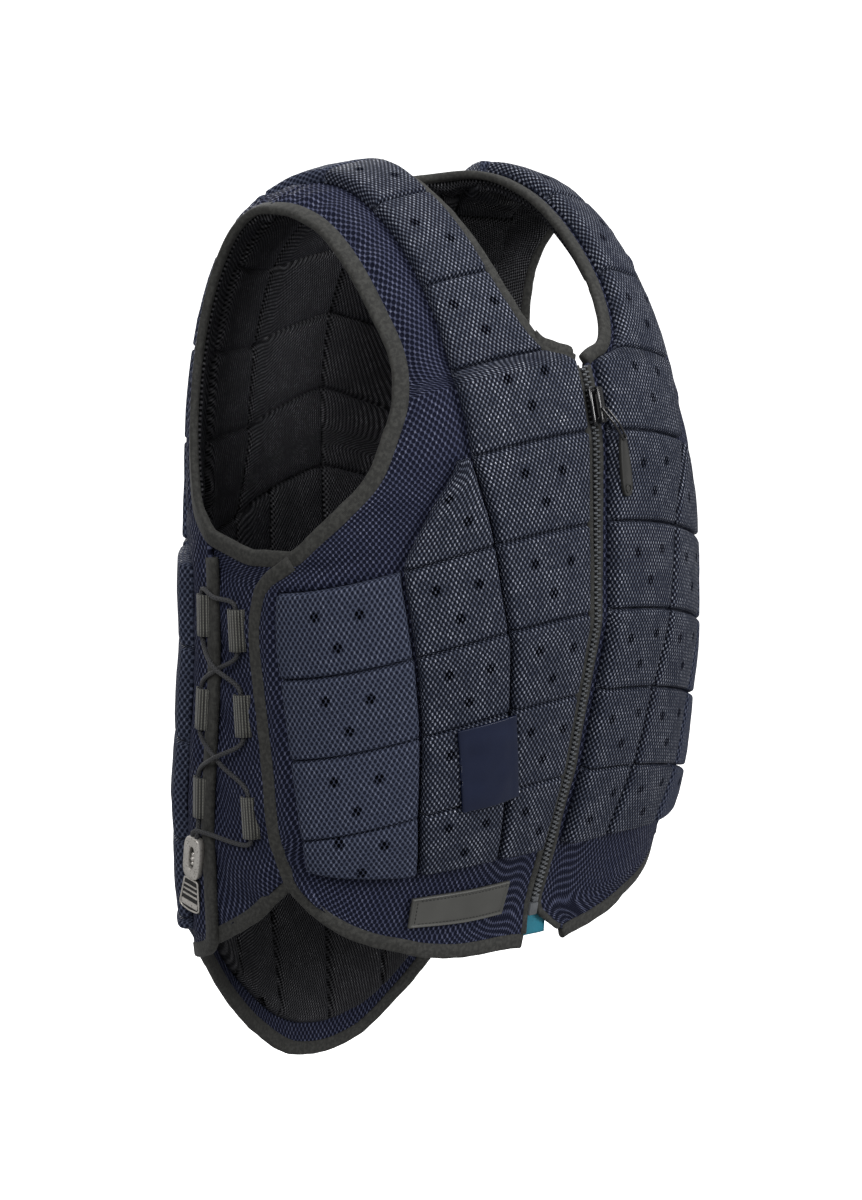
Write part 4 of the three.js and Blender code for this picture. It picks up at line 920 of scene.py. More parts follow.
# Side gussets
# Thin navy mesh between the front and the back under each arm, tucked under both edges. It
# is stretched by the laces and drawn into slanting folds.
GUSSET_ROWS = [
    (11.08, 8.08, 0.003),
    (12, 9, 0),
    (13, 9.5, 0),
    (14, 10, 0),
    (15, 11, 0),
    (16, 12, 0),
    (18, 15, 0),
]
GUSSET_TUCKS = (0.6, 0.3)
GUSSET_FOLD = 1.6 * MM


def node_between(angles, levels, row, column):
    """A panel's angle and height, straight between its nodes."""
    j, k = min(int(row), len(angles) - 2), min(int(column), angles.shape[1] - 2)
    t, x = row - j, column - k
    mixed = [
        (grid[j, k] * (1 - x) + grid[j, k + 1] * x) * (1 - t)
        + (grid[j + 1, k] * (1 - x) + grid[j + 1, k + 1] * x) * t
        for grid in (angles, levels)
    ]
    return mixed


def levels_of(panel):
    return -np.where(panel.reach < 1, panel.reach ** 2, 2 * panel.reach - 1) * ARC_HEIGHT


def side_gusset(side):
    front, back = FRONT[side], BACK
    edge, inside = (0, 1) if side == "right" else (2 * BACK_SIDE, 2 * BACK_SIDE - 1)
    turn = 0 if side == "right" else -360
    angles, levels = [], []
    for front_row, back_row, dip in GUSSET_ROWS:
        at_front = lambda column: node_between(front.angles, levels_of(front), front_row, column)
        at_back = lambda column: node_between(back.angles, levels_of(back), back_row, column)
        a, b = at_front(6), at_back(edge)
        stops = [
            at_front(6 - GUSSET_TUCKS[0]),
            a,
            [(a[0] + b[0] + turn) / 2, (a[1] + b[1]) / 2 - dip * LENGTH],
            [b[0] + turn, b[1]],
            [at_back(edge + (inside - edge) * GUSSET_TUCKS[1])[0] + turn,
             at_back(edge + (inside - edge) * GUSSET_TUCKS[1])[1]],
        ]
        angles.append([stop[0] for stop in stops])
        levels.append([stop[1] for stop in stops])
    return Panel(angles, levels, plumb=2)


GUSSETS = {side: side_gusset(side) for side in ("right", "left")}
for side, panel in GUSSETS.items():
    pattern = Pattern(panel, list(range(5)), list(range(7)), (0, 2 * MM), 3.5 * MM)
    column, row = pattern.column.reshape(pattern.shape), pattern.row.reshape(pattern.shape)
    free = np.clip(np.minimum(column - 1, 3 - column) / 0.35, 0, 1)
    slant = pattern.v + 0.6 * pattern.u
    folds = GUSSET_FOLD * (np.sin(slant / (9 * MM)) + 0.8 * hills(pattern.surface, 22 * MM, 5.0))
    top = GUSSET_OUT + free * folds - 0.2 * MM
    piece, _, _ = woven(pattern, "side_gusset_" + side, top, top - GUSSET)
    flat = (float(pattern.u[:, -1].max()), float(pattern.v[-1].max()))
    lengths = (pattern.u[:-1, -1] + pattern.u[1:, -1]) / 2 * np.diff(pattern.v, axis=0).mean(axis=1)
    float(min(lengths.sum(), flat[0] * flat[1]))
    shown(piece, COVER_MESH, "mesh", "side_gusset_" + side)

# Binding tape
# Charcoal woven tape, 10 mm wide, folded over every raw edge of the cloth and stitched
# through: round each armhole, the neck, the front hems, the gussets and the tail.
TAPE_OVER = 3.2 * MM
TAPE_OVER_NECK = 1.6 * MM
TAPE_REACH = 7.2 * MM
TAPE_SWELL = 0.9 * MM


def lofted(name, rings, closed=False):
    """A piece through rings of points: each ring a loop, and the row of rings open or closed."""
    m, n = rings.shape[:2]
    across, along = n, (m if closed else m - 1)
    bm = bmesh.new()
    bmesh.ops.create_grid(bm, x_segments=across, y_segments=along, size=0.5)
    u = np.concatenate([[0], np.cumsum(np.linalg.norm(np.roll(rings, -1, 0) - rings, axis=-1).mean(1))])
    v = np.concatenate([[0], np.cumsum(np.linalg.norm(np.roll(rings, -1, 1) - rings, axis=-1).mean(0))])
    cell = {v_: (round((v_.co.x + 0.5) * across), round((v_.co.y + 0.5) * along)) for v_ in bm.verts}
    layer = bm.loops.layers.uv.new("cloth")
    for face in bm.faces:
        for loop in face.loops:
            i, j = cell[loop.vert]
            loop[layer].uv = (u[j], v[i])
    for vertex, (i, j) in cell.items():
        vertex.co = rings[j % m, i % n]
    bmesh.ops.remove_doubles(bm, verts=bm.verts, dist=1e-7)
    if not closed:
        bmesh.ops.holes_fill(bm, edges=[edge for edge in bm.edges if edge.is_boundary])
    bmesh.ops.recalc_face_normals(bm, faces=bm.faces)
    mesh = bpy.data.meshes.new(name)
    bm.to_mesh(mesh)
    bm.free()
    mesh.shade_smooth()
    piece = bpy.data.objects.new(name, mesh)
    bpy.context.scene.collection.objects.link(piece)
    return piece


def resampled(values, points, step, closed):
    """Some values along a line of points, taken again at even steps."""
    loop = np.concatenate([points, points[:1]]) if closed else points
    track = np.concatenate([values, values[:1]]) if closed else values
    gone = np.concatenate([[0], np.cumsum(np.linalg.norm(np.diff(loop, axis=0), axis=1))])
    count = max(3, round(gone[-1] / step))
    at = np.linspace(0, gone[-1], count + 1)
    if closed:
        at = at[:-1]
    return np.stack([np.interp(at, gone, track[:, k]) for k in range(track.shape[1])], axis=-1)


def smoothed(values, closed, times=3):
    for _ in range(times):
        if closed:
            values = (np.roll(values, 1, 0) + 2 * values + np.roll(values, -1, 0)) / 4
        else:
            middle = (values[:-2] + 2 * values[1:-1] + values[2:]) / 4
            values = np.concatenate([values[:1], middle, values[-1:]])
    return values


def evened(points, normals, step, closed=False, times=0):
    """Points and outward directions along a line, taken again at even steps and smoothed."""
    both = resampled(np.concatenate([points, normals], axis=1), points, step, closed)
    both = smoothed(both, closed, times)
    return both[:, :3], unit(both[:, 3:])


def ways_along(points, closed):
    if closed:
        return unit(np.roll(points, -1, 0) - np.roll(points, 1, 0))
    return unit(np.gradient(points, axis=0))


def edge_of(panel, columns, rows, depth=COVER_MIDDLE):
    """Points and outward directions along a line on a panel."""
    count = 1 + 8 * max(1, round(abs(columns[1] - columns[0]) + abs(rows[1] - rows[0])))
    column, row = np.linspace(*columns, count), np.linspace(*rows, count)
    return panel.place(column, row, np.full(count, depth))


def taped(name, parts, hand, closed=False, over=TAPE_OVER, half=COVER / 2):
    points = np.concatenate([part[0] for part in parts])
    normals = np.concatenate([part[1] for part in parts])
    points, normals = evened(points, normals, 3.2 * MM, closed, 4)
    out = hand * unit(np.cross(ways_along(points, closed), normals))
    tall = half + TAPE_SWELL
    profile = [(-over, tall - 0.7 * MM), (-over + 0.5 * MM, tall), (TAPE_REACH - 2.4 * MM, tall)]
    for turn in range(-60, 61, 30):
        swing = math.radians(turn)
        profile.append((TAPE_REACH - 2.2 * MM * (1 - math.cos(swing)), -tall * math.sin(swing)))
    profile += [(a, -b) for a, b in profile[2::-1]]
    rings = []
    uneven = 0.35 * MM * hills(points, 9 * MM, 2.2)
    for across, depth in profile:
        wave = uneven * (1 if across > 0 else 0.2)
        rings.append(points + out * (across + wave)[:, None] + normals * depth)
    piece = lofted(name + "_look", np.stack(rings, axis=1), closed=closed)
    shown(piece, TAPE_CLOTH, "tape", name)


f = Finish("binding_tape")
where = f.cloth()
rib = f.ribs(f.node("ShaderNodeSeparateXYZ", None, Vector=where).outputs[0], 0.8 * MM)
mottle = f.step(f.noise(420.0, 4.0), 0.35, 0.7)
lint = f.step(f.noise(1500.0, 2.0), 0.6, 0.8)
colour = f.blend(mottle, (0.024, 0.024, 0.0225, 1), (0.046, 0.046, 0.0425, 1))
colour = f.blend(f.sum("MULTIPLY", lint, 0.5), colour, (0.085, 0.085, 0.08, 1))
f.bump(f.sum("ADD", f.sum("MULTIPLY", rib, 0.5), mottle), 0.15 * MM, 0.5)
TAPE_CLOTH = f.surface(
    colour, Roughness=0.75, Specular_IOR_Level=0.25, Sheen_Weight=0.06, Sheen_Roughness=0.4,
)

for side, hand in (("right", 1), ("left", -1)):
    front, gusset = FRONT[side], GUSSETS[side]
    back_edge = 0 if side == "right" else 2 * BACK_SIDE
    armhole = [
        edge_of(front, (6, 6), (0, FRONT_ARMHOLE_END)),
        gusset.place([2], [0], np.full(1, GUSSET_OUT - GUSSET / 2)),
        edge_of(BACK, (back_edge, back_edge), (BACK_ARMHOLE_END, 0.3)),
    ]
    taped("armhole_binding_" + side, armhole, hand, closed=True)
    hem = [
        edge_of(front, (6, 6), (FRONT_ARMHOLE_END + 0.05, FRONT_LAST)),
        edge_of(front, (5.9, 0), (FRONT_LAST, FRONT_LAST)),
    ]
    taped("front_hem_binding_" + side, hem, hand)
    low = [edge_of(gusset, (0.4, 3), (6, 6), GUSSET_OUT - GUSSET / 2)]
    taped("side_hem_binding_" + side, low, -hand, half=GUSSET / 2)

neck_start, neck_end = BACK_SIDE - BACK_COLUMNS.index("c2"), BACK_SIDE + BACK_COLUMNS.index("c2")
neck = [
    edge_of(FRONT["right"], (0, 0), (FRONT_ZIP_TOP, 0)),
    edge_of(BACK, (neck_start + 0.2, neck_end - 0.2), (0, 0)),
    edge_of(FRONT["left"], (0, 0), (0, FRONT_ZIP_TOP)),
]
taped("neck_binding", neck, 1, over=TAPE_OVER_NECK)
tail = [
    edge_of(BACK, (0, 0), (BACK_ARMHOLE_END + 0.5, BACK_LAST)),
    edge_of(BACK, (0.1, 2 * BACK_SIDE - 0.1), (BACK_LAST, BACK_LAST)),
    edge_of(BACK, (2 * BACK_SIDE, 2 * BACK_SIDE), (BACK_LAST, BACK_ARMHOLE_END + 0.5)),
]
taped("tail_binding", tail, -1)

# Front zip
# A black zip tape sewn behind the front edges, with moulded grey teeth, a gloss black slider
# and a soft rubber pull. A strip of the charcoal tape edges the cloth on both sides of it.
ZIP_TAPE = 2.2 * MM
ZIP_START = 0.006
ZIP_END = 0.03
TOOTH_PITCH = 3.4 * MM
TOOTH = (3.4 * MM, 1.35 * MM, 2.8 * MM)
TOOTH_ASIDE = 1.3 * MM
CHAIN_END = 0.948
RETAINER_AT = 0.957
ZIP_OUT = COVER_MIDDLE + ZIP_TAPE / 2
zip_at = [row[0] for row in FRONT_ROWS if row[1]]
zip_at[0] += ZIP_START
zip_at[-1] -= ZIP_END
zip_levels = np.array([[-LENGTH * at] * 3 for at in zip_at])
zip_half = np.array([angle_at(ZIP_GAP / 2 - FIT, level[:1])[0] for level in zip_levels])
ZIP = Panel(np.stack([zip_half, 0 * zip_half, -zip_half], axis=1), zip_levels)


f = Finish("zip_cloth")
where = f.cloth()
weave = f.node("ShaderNodeTexWave", None, Vector=where, Scale=420.0, Distortion=1.0)
colour = f.blend(weave.outputs["Fac"], (0.005, 0.005, 0.006, 1), (0.018, 0.018, 0.019, 1))
f.bump(weave.outputs["Fac"], 0.2 * MM, 0.4)
ZIP_CLOTH = f.surface(colour, Roughness=0.7)
f = Finish("moulded_teeth")
streaks = f.noise(260.0, 3.0)
colour = f.blend(streaks, (0.06, 0.065, 0.07, 1), (0.19, 0.2, 0.215, 1))
MOULDED = f.surface(colour, Roughness=0.32, Metallic=0.3)
f = Finish("slider_gloss")
scuffs = f.step(f.noise(300.0, 4.0), 0.55, 0.75)
colour = f.blend(scuffs, (0.006, 0.006, 0.007, 1), (0.02, 0.02, 0.022, 1))
SLIDER_GLOSS = f.surface(colour, Roughness=0.16, Coat_Weight=0.6)
f = Finish("soft_rubber")
grain = f.noise(700.0, 3.0)
colour = f.blend(grain, (0.012, 0.012, 0.011, 1), (0.03, 0.03, 0.028, 1))
f.bump(grain, 0.1 * MM, 0.3)
SOFT_RUBBER = f.surface(colour, Roughness=0.55)

pattern = Pattern(ZIP, [0, 1, 2], list(range(len(zip_at))), (0,), 3 * MM)
shown(woven(pattern, "zip_tape", ZIP_OUT, ZIP_OUT - ZIP_TAPE)[0], ZIP_CLOTH, "zip", "zip_tape")

line = edge_of(ZIP, (1, 1), (0, len(zip_at) - 1), ZIP_OUT + FIT)
points, normals = evened(*line, TOOTH_PITCH / 2)
chain = points[:, 2] > LIFT - LENGTH * CHAIN_END
points, normals = points[chain], normals[chain]
ways = ways_along(points, False)
bm = bmesh.new()
for number, (point, normal, way) in enumerate(zip(points, normals, ways)):
    side = unit(np.cross(way, normal)) * (1 if number % 2 else -1)
    middle = point + side * TOOTH_ASIDE + normal * TOOTH[2] / 2
    turned = Matrix(np.column_stack([side, way, normal]).tolist()).to_4x4()
    size = Matrix.Diagonal((*TOOTH, 1))
    bmesh.ops.create_cube(bm, size=1, matrix=Matrix.Translation(middle) @ turned @ size)
bmesh.ops.bevel(bm, geom=bm.edges[:], offset=0.4 * MM, segments=1, profile=0.5, affect="EDGES", material=-1)
teeth = bpy.data.objects.new("zip_teeth_look", bpy.data.meshes.new("zip_teeth_look"))
bm.to_mesh(teeth.data)
bm.free()
bpy.context.scene.collection.objects.link(teeth)
shown(teeth, MOULDED, "zip", "zip_teeth")

# Each front edge is bound with a folded strip of the tape that stands up beside the teeth, and
# leans over them along the middle of the front. Its outline is in mm, across and out.
PIPING = [
    (-3.3, -2.8), (-3.6, -0.4), (-3.2, 0.9), (-2.2, 1.4), (-0.6, 1.2), (0.9, 0.7), (1.6, 0.1), (1.5, -1.4),
]
PIPING_OVER = 1.7 * MM
for side, hand in (("right", 1), ("left", -1)):
    points, normals = edge_of(FRONT[side], (0, 0), (FRONT_ZIP_TOP + 0.1, FRONT_LAST - 0.15), COVER_OUT)
    points, normals = evened(points, normals, 4 * MM)
    out = hand * unit(np.cross(ways_along(points, False), normals))
    wave = 0.5 * MM * hills(points, 26 * MM, 4.4)[:, None]
    share = np.linspace(0, 1, len(points))[:, None]
    over = PIPING_OVER * np.sin(np.pi * np.clip((share - 0.17) / 0.65, 0, 1)) ** 0.6
    rings = [points + out * (a * MM - over + wave) + normals * b * MM for a, b in PIPING]
    shown(lofted("zip_piping_" + side, np.stack(rings, axis=1)), TAPE_CLOTH, "tape")

# The end of the neck's tape is folded up over the top of the zip.
edge = edge_of(FRONT["right"], (0, 0), (FRONT_ZIP_TOP + 0.05, FRONT_ZIP_TOP - 1.3), COVER_MIDDLE)
points, normals = evened(*edge, 2.5 * MM)
rings = []
for depth, lift in ((0.9, -2), (1.1, 4), (0.9, 9.4), (0, 10), (-0.9, 9.4), (-1.1, 4), (-0.9, -2)):
    ripple = 0.5 * MM * np.sin(np.arange(len(points)) * 1.1)[:, None] * max(lift, 0) / 10
    rings.append(points + normals * (depth * MM + ripple) + np.array([0, 0, lift * MM]))
shown(lofted("zip_garage", np.stack(rings, axis=1)), TAPE_CLOTH, "tape")


class Seat:
    """Where a small CAD piece lies: its middle, its upward, across and outward directions
    and its size in each. It can be turned on its upright, in degrees, to face the front."""

    def __init__(self, node, turn=0.0, lift=0.0):
        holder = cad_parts[node]
        corners = np.array([holder.matrix_world @ v.co for v in holder.data.vertices])
        corners = np.unique(corners.round(6), axis=0)
        middle = corners.mean(axis=0)
        axes = np.linalg.svd(corners - middle)[2]
        first, second, out = axes
        up, across = (first, second) if abs(first[2]) > abs(second[2]) else (second, first)
        self.up = up if up[2] > 0 else -up
        self.out = out if np.dot(out[:2], middle[:2]) > 0 else -out
        self.across = np.cross(self.up, self.out)
        frame_axes = np.stack([self.across, self.up, self.out])
        reach = (corners - middle) @ frame_axes.T
        low, high = reach.min(axis=0), reach.max(axis=0)
        self.size = high - low
        self.middle = middle + ((low + high) / 2) @ frame_axes
        swing = math.radians(turn) * -np.sign(self.across[1])
        across, out = self.across, self.out
        self.out = out * math.cos(swing) + across * math.sin(swing)
        self.across = across * math.cos(swing) - out * math.sin(swing)
        self.middle = self.middle + out * lift
        self.axes = np.stack([self.across, self.up, self.out])

    def to(self, points):
        """Points in the shared frame, from places across, up and out of the middle."""
        return self.middle + np.asarray(points) @ self.axes

    def matrix(self):
        made = Matrix(self.axes.T.tolist()).to_4x4()
        made.translation = Vector(self.middle)
        return made


def solid(name, bm, material, slot, *nodes):
    """Makes a hard piece of a bmesh, smooth except across its sharp edges."""
    bmesh.ops.recalc_face_normals(bm, faces=bm.faces)
    mesh = bpy.data.meshes.new(name)
    bm.to_mesh(mesh)
    bm.free()
    mesh.shade_smooth()
    mesh.set_sharp_from_angle(angle=math.radians(35))
    piece = bpy.data.objects.new(name, mesh)
    bpy.context.scene.collection.objects.link(piece)
    return shown(piece, material, slot, *nodes)


def bevelled_box(bm, place, at, size, edge, segments=2):
    """Adds a box with rounded edges, from its middle and size across, up and out of a place."""
    matrix = place @ Matrix.Translation(at) @ Matrix.Diagonal((*size, 1))
    made = bmesh.ops.create_cube(bm, size=1, matrix=matrix)
    edges = list({e for v in made["verts"] for e in v.link_edges})
    bmesh.ops.bevel(bm, geom=edges, offset=edge, segments=segments, profile=0.5, affect="EDGES", material=-1)


def rod(name, points, radius, sides, closed=False):
    """A round bar along a line of points."""
    points = np.array(points)
    ways = ways_along(points, closed)
    across = unit(np.cross(ways[0], [0.3, 0.2, 0.93]))
    rings = []
    for point, way in zip(points, ways):
        across = unit(across - way * np.dot(across, way))
        third = np.cross(way, across)
        turns = np.linspace(0, math.tau, sides, endpoint=False)[:, None]
        rings.append(point + radius * (np.cos(turns) * across + np.sin(turns) * third))
    return lofted(name, np.array(rings), closed=closed)


# The chain ends in a pin and a retainer box of the same moulding.
end, normal = edge_of(ZIP, (1, 1), (len(zip_at) - 3, len(zip_at) - 1), ZIP_OUT + FIT)
number = int(np.argmin(np.abs(end[:, 2] - LIFT + LENGTH * RETAINER_AT)))
way = unit(end[number - 1] - end[number + 1])
place = Matrix(np.column_stack([np.cross(way, normal[number]), way, normal[number]]).tolist()).to_4x4()
place.translation = Vector(end[number])
bm = bmesh.new()
bevelled_box(bm, place, (0, -1.5 * MM, 1.8 * MM), (7.6 * MM, 9 * MM, 3.6 * MM), 0.8 * MM)
bevelled_box(bm, place, (0.8 * MM, 5.4 * MM, 1.7 * MM), (5 * MM, 3.6 * MM, 3.2 * MM), 0.6 * MM)
solid("zip_retainer", bm, MOULDED, "zip")

seat = Seat("zip_slider")
w, l, h = seat.size
bm = bmesh.new()
bevelled_box(bm, seat.matrix(), (0, 0, -h / 2 + 1.6 * MM), (w, l, 3.2 * MM), 1.3 * MM, 3)
bevelled_box(bm, seat.matrix(), (0, l * 0.4, 0.4 * MM), (4.4 * MM, l * 0.18, h * 0.9), 1 * MM)
bevelled_box(bm, seat.matrix(), (0, -l * 0.4, 0.4 * MM), (4.4 * MM, l * 0.18, h * 0.9), 1 * MM)
bevelled_box(bm, seat.matrix(), (0, 0, h / 2 - 1 * MM), (4.8 * MM, l * 0.97, 2 * MM), 0.9 * MM, 3)
solid("zip_slider_look", bm, SLIDER_GLOSS, "slider", "zip_slider")

pull = Seat("zip_pull")
pw, pl, ph = pull.size
turns = np.linspace(0, math.tau, 48, endpoint=False)
cosine, sine = np.cos(turns), np.sin(turns)
half = np.interp(sine, [-1, -0.5, 1], [pw / 2, pw / 2, pw * 0.32])
outline = np.column_stack([
    np.sign(cosine) * np.abs(cosine) ** 0.5 * half,
    np.sign(sine) * np.abs(sine) ** 0.8 * pl / 2,
    np.zeros(len(turns)),
])
# From the back face round the edge to a panel sunk in the front: inset and height.
sunk = ph / 2 - 0.5 * MM
rings = [outline * 0.01 - [0, 0, ph / 2]]
for share, z in ((0.1, -ph / 2), (0, -sunk), (0, sunk), (0.07, ph / 2), (0.28, sunk)):
    inset = np.sign(outline) * np.minimum(np.abs(outline), pw / 2 * share)
    rings.append(outline - inset + [0, 0, z])
rings.append(outline * 0.01 + [0, 0, sunk])
piece = lofted("zip_pull_look", pull.to(np.array(rings)))
shown(piece, SOFT_RUBBER, "rubber", "zip_pull")
eye, turns = 2.4 * MM, np.linspace(0, math.tau, 20, endpoint=False)
eye = pull.to([(eye * math.cos(t), -pl / 2 + pw / 2 + eye * math.sin(t), ph / 2) for t in turns])
shown(rod("zip_pull_eye", eye, 0.5 * MM, 8, True), SOFT_RUBBER, "rubber")
top = seat.to((0, -l * 0.1, h / 2 + 1.0 * MM))
end = pull.to((0, pl / 2 - 3 * MM, ph / 2 + 0.8 * MM))
aside = seat.across * 2.2 * MM
middle = (top + end) / 2 + seat.out * 1.5 * MM
bail = np.array([
    top - aside, top + aside, middle + aside, end + aside * 0.8, end - aside * 0.8, middle - aside,
])
bail = smoothed(resampled(bail, bail, 1.2 * MM, True), True, 2)
shown(rod("zip_bail", bail, 0.8 * MM, 10, True), SLIDER_GLOSS, "slider")

# Webbing loops
# Three short tunnels of charcoal webbing on each edge of the gusset, 10 mm wide, their sides
# sewn down. The ribs run along the tunnel.
f = Finish("ribbed_webbing")
where = f.cloth()
parts = f.node("ShaderNodeSeparateXYZ", None, Vector=where)
ribs = f.ribs(parts.outputs[1], 2.1 * MM)
picks = f.ribs(parts.outputs[0], 1.0 * MM)
colour = f.blend(f.step(ribs, -0.6, 0.5), (0.004, 0.004, 0.0035, 1), (0.06, 0.06, 0.052, 1))
# Painted highlights: pale spots on the rib crests where the picks cross.
crest_highlights = f.sum("MULTIPLY", f.step(ribs, 0.2, 0.9), f.step(picks, 0.0, 0.9))
colour = f.blend(crest_highlights, colour, (0.24, 0.24, 0.21, 1))
f.bump(f.sum("ADD", ribs, f.sum("MULTIPLY", picks, 0.3)), 0.25 * MM, 0.8)
WEBBING = f.surface(colour, Roughness=0.6, Sheen_Weight=0.2)


def loop(name):
    seat = Seat(name)
    w, l, h = seat.size
    half, low = w / 2, -h / 2
    middle = [
        (-half, low + 0.7 * MM), (-half + 1.4 * MM, low + 0.7 * MM), (-half + 2.0 * MM, low + 2.2 * MM),
        (-half + 2.6 * MM, h / 2 - 1.6 * MM), (-half + 4.2 * MM, h / 2 - 0.5 * MM), (0, h / 2 - 0.3 * MM),
    ]
    middle += [(-a, b) for a, b in middle[-2::-1]]
    track = smoothed(resampled(np.array(middle), np.array(middle), 0.8 * MM, False), False, 2)
    bow = unit(np.gradient(track, axis=0))
    across = np.stack([-bow[:, 1], bow[:, 0]], axis=-1)
    rings = []
    for y in np.linspace(-l / 2, l / 2, 7):
        sheet = [track + across * 0.65 * MM, (track - across * 0.65 * MM)[::-1]]
        ring = np.concatenate(sheet)
        rings.append(seat.to(np.stack([ring[:, 0], np.full(len(ring), y), ring[:, 1]], axis=-1)))
    shown(lofted(name + "_look", np.array(rings)), WEBBING, "webbing", name)
    return seat


SEATS = {}
for side in ("right", "left"):
    for edge in ("back", "front"):
        for number in (1, 2, 3):
            name = f"loop_{edge}_{side}_{number}"
            SEATS[name] = loop(name)

# Cord locks
# A speckled silver plate with a long slot, a sprung ball catch inside it and a ribbed tab
# below to let it go. It lies on the edge of the back under the last loop.
f = Finish("silver_metal")
specks = f.step(f.noise(900.0, 3.0), 0.56, 0.68)
cloudy = f.noise(120.0, 3.0)
colour = f.blend(cloudy, (0.42, 0.40, 0.37, 1), (0.68, 0.65, 0.61, 1))
colour = f.blend(specks, colour, (0.22, 0.21, 0.19, 1))
f.bump(cloudy, 0.1 * MM, 0.2)
SILVER = f.surface(colour, Roughness=0.3, Metallic=0.4)
f = Finish("black_catch")
colour = f.blend(f.noise(500.0, 2.0), (0.004, 0.004, 0.004, 1), (0.015, 0.015, 0.015, 1))
CATCH = f.surface(colour, Roughness=0.5)


def oblong(width, length, turns, corner=0.55):
    """A long loop with rounded corners."""
    cosine, sine = np.cos(turns), np.sin(turns)
    x = np.sign(cosine) * np.abs(cosine) ** corner * width / 2
    y = np.sign(sine) * np.abs(sine) ** corner * length / 2
    return np.stack([x, y], axis=-1)


# The lock hangs loose on the cord and swings a little towards the front.
LOCK_TURN = 24
LOCK_LIFT = 2.6 * MM
LOCKS = {}
for side in ("right", "left"):
    seat = LOCKS[side] = Seat("cord_lock_" + side, LOCK_TURN, LOCK_LIFT)
    w, l, h = seat.size
    turns = np.linspace(0, math.tau, 40, endpoint=False)
    outer, inner = oblong(w, l, turns), oblong(5.2 * MM, 17 * MM, turns, 0.8)
    edge = 0.8 * MM
    shrink = lambda ring, by: ring - unit(ring) * by
    stops = [
        (outer, -h / 2),
        (outer, h / 2 - edge),
        (shrink(outer, 0.35 * edge), h / 2 - 0.35 * edge),
        (shrink(outer, edge), h / 2),
        (shrink(inner, -edge), h / 2),
        (shrink(inner, -0.3 * edge), h / 2 - 0.4 * edge),
        (inner, h / 2 - edge),
        (inner, -h / 2),
    ]
    rings = [seat.to(np.column_stack([ring, np.full(len(ring), z)])) for ring, z in stops]
    piece = lofted(f"cord_lock_{side}_look", np.array(rings), closed=True)
    shown(piece, SILVER, "metal", "cord_lock_" + side)
    bm = bmesh.new()
    bevelled_box(bm, seat.matrix(), (0, 0, -h / 2 + 0.7 * MM), (6.5 * MM, 19 * MM, 1.2 * MM), 0.4 * MM, 1)
    solid(f"cord_lock_{side}_throat", bm, CATCH, "metal")
    bm = bmesh.new()
    for y, radius in ((2.6 * MM, 1.5 * MM), (-0.6 * MM, 1.9 * MM), (-4.2 * MM, 1.5 * MM)):
        at = seat.matrix() @ Matrix.Translation((0.3 * MM, y, 0.3 * MM))
        bmesh.ops.create_icosphere(bm, subdivisions=3, radius=radius, matrix=at)
    for y in (0.9 * MM, -2.5 * MM):
        bevelled_box(bm, seat.matrix(), (0, y, -0.4 * MM), (2.0 * MM, 0.7 * MM, 1.6 * MM), 0.25 * MM, 1)
    solid(f"cord_lock_{side}_catch", bm, SILVER, "metal")
    # The tab flares downward, with a raised silver rim and four bars on a black ground.
    tab = Seat("cord_lock_tab_" + side, LOCK_TURN, LOCK_LIFT)
    w, l, h = tab.size * [1.3, 1, 1]
    bm = bmesh.new()
    made = bmesh.ops.create_cube(bm, size=1, matrix=tab.matrix() @ Matrix.Diagonal((w, l, h * 0.7, 1)))
    for vertex in made["verts"]:
        x, y, z = tab.axes @ (np.array(vertex.co) - tab.middle)
        share = (y + l / 2) / l
        vertex.co = Vector(tab.to((x * (1 - 0.34 * share), y, z)))
    bmesh.ops.bevel(
        bm, geom=bm.edges[:], offset=0.7 * MM, segments=2, profile=0.5, affect="EDGES", material=-1
    )
    solid(f"cord_lock_tab_{side}_look", bm, CATCH, "metal", "cord_lock_tab_" + side)
    rim = [(-0.33, 0.5), (0.33, 0.5), (0.5, -0.42), (0.4, -0.5), (0, -0.54), (-0.4, -0.5), (-0.5, -0.42)]
    rim = tab.to([(x * w * 0.93, y * l * 0.93, h * 0.36) for x, y in rim])
    rim = resampled(rim, rim, 1.2 * MM, True)
    shown(rod(f"cord_lock_tab_{side}_rim", smoothed(rim, True, 1), 0.65 * MM, 8, True), SILVER, "metal")
    bm = bmesh.new()
    for y, tall in ((0.27, 1.2), (0.12, 1.3), (-0.04, 1.4), (-0.3, 4.2)):
        wide = w * (0.83 - 0.3 * (y + 0.5))
        bevelled_box(bm, tab.matrix(), (0, y * l, h * 0.33), (wide, tall * MM, 1.3 * MM), 0.35 * MM, 2)
    solid(f"cord_lock_tab_{side}_bars", bm, SILVER, "metal")

# Side laces
# One dark elastic cord on each side, 3 mm thick. It runs through all six loops, crosses
# between them and goes into the cord lock with both ends.
LACE = 1.5 * MM
LACE_SLACK = 3.2 * MM
LACE_LOW = 3.8 * MM
LACE_HIGH = 7.4 * MM
LACE_APART = 1.8 * MM
LACE_OVER = 3 * MM
LOOP_INSIDE = 4.3 * MM
f = Finish("braided_cord")
where = f.cloth()
parts = f.node("ShaderNodeSeparateXYZ", None, Vector=where)
along = f.sum("MULTIPLY", parts.outputs[0], math.tau / (2.4 * MM))
around = f.sum("MULTIPLY", parts.outputs[1], math.tau / (2.35 * MM))
one = f.sum("SINE", f.sum("ADD", along, around))
two = f.sum("SINE", f.sum("SUBTRACT", along, around))
plait = f.sum("MAXIMUM", one, two)
colour = f.blend(f.step(plait, -0.2, 0.95), (0.005, 0.005, 0.006, 1), (0.032, 0.033, 0.038, 1))
f.bump(plait, 0.2 * MM, 0.7)
CORD = f.surface(colour, Roughness=0.6, Sheen_Weight=0.08)


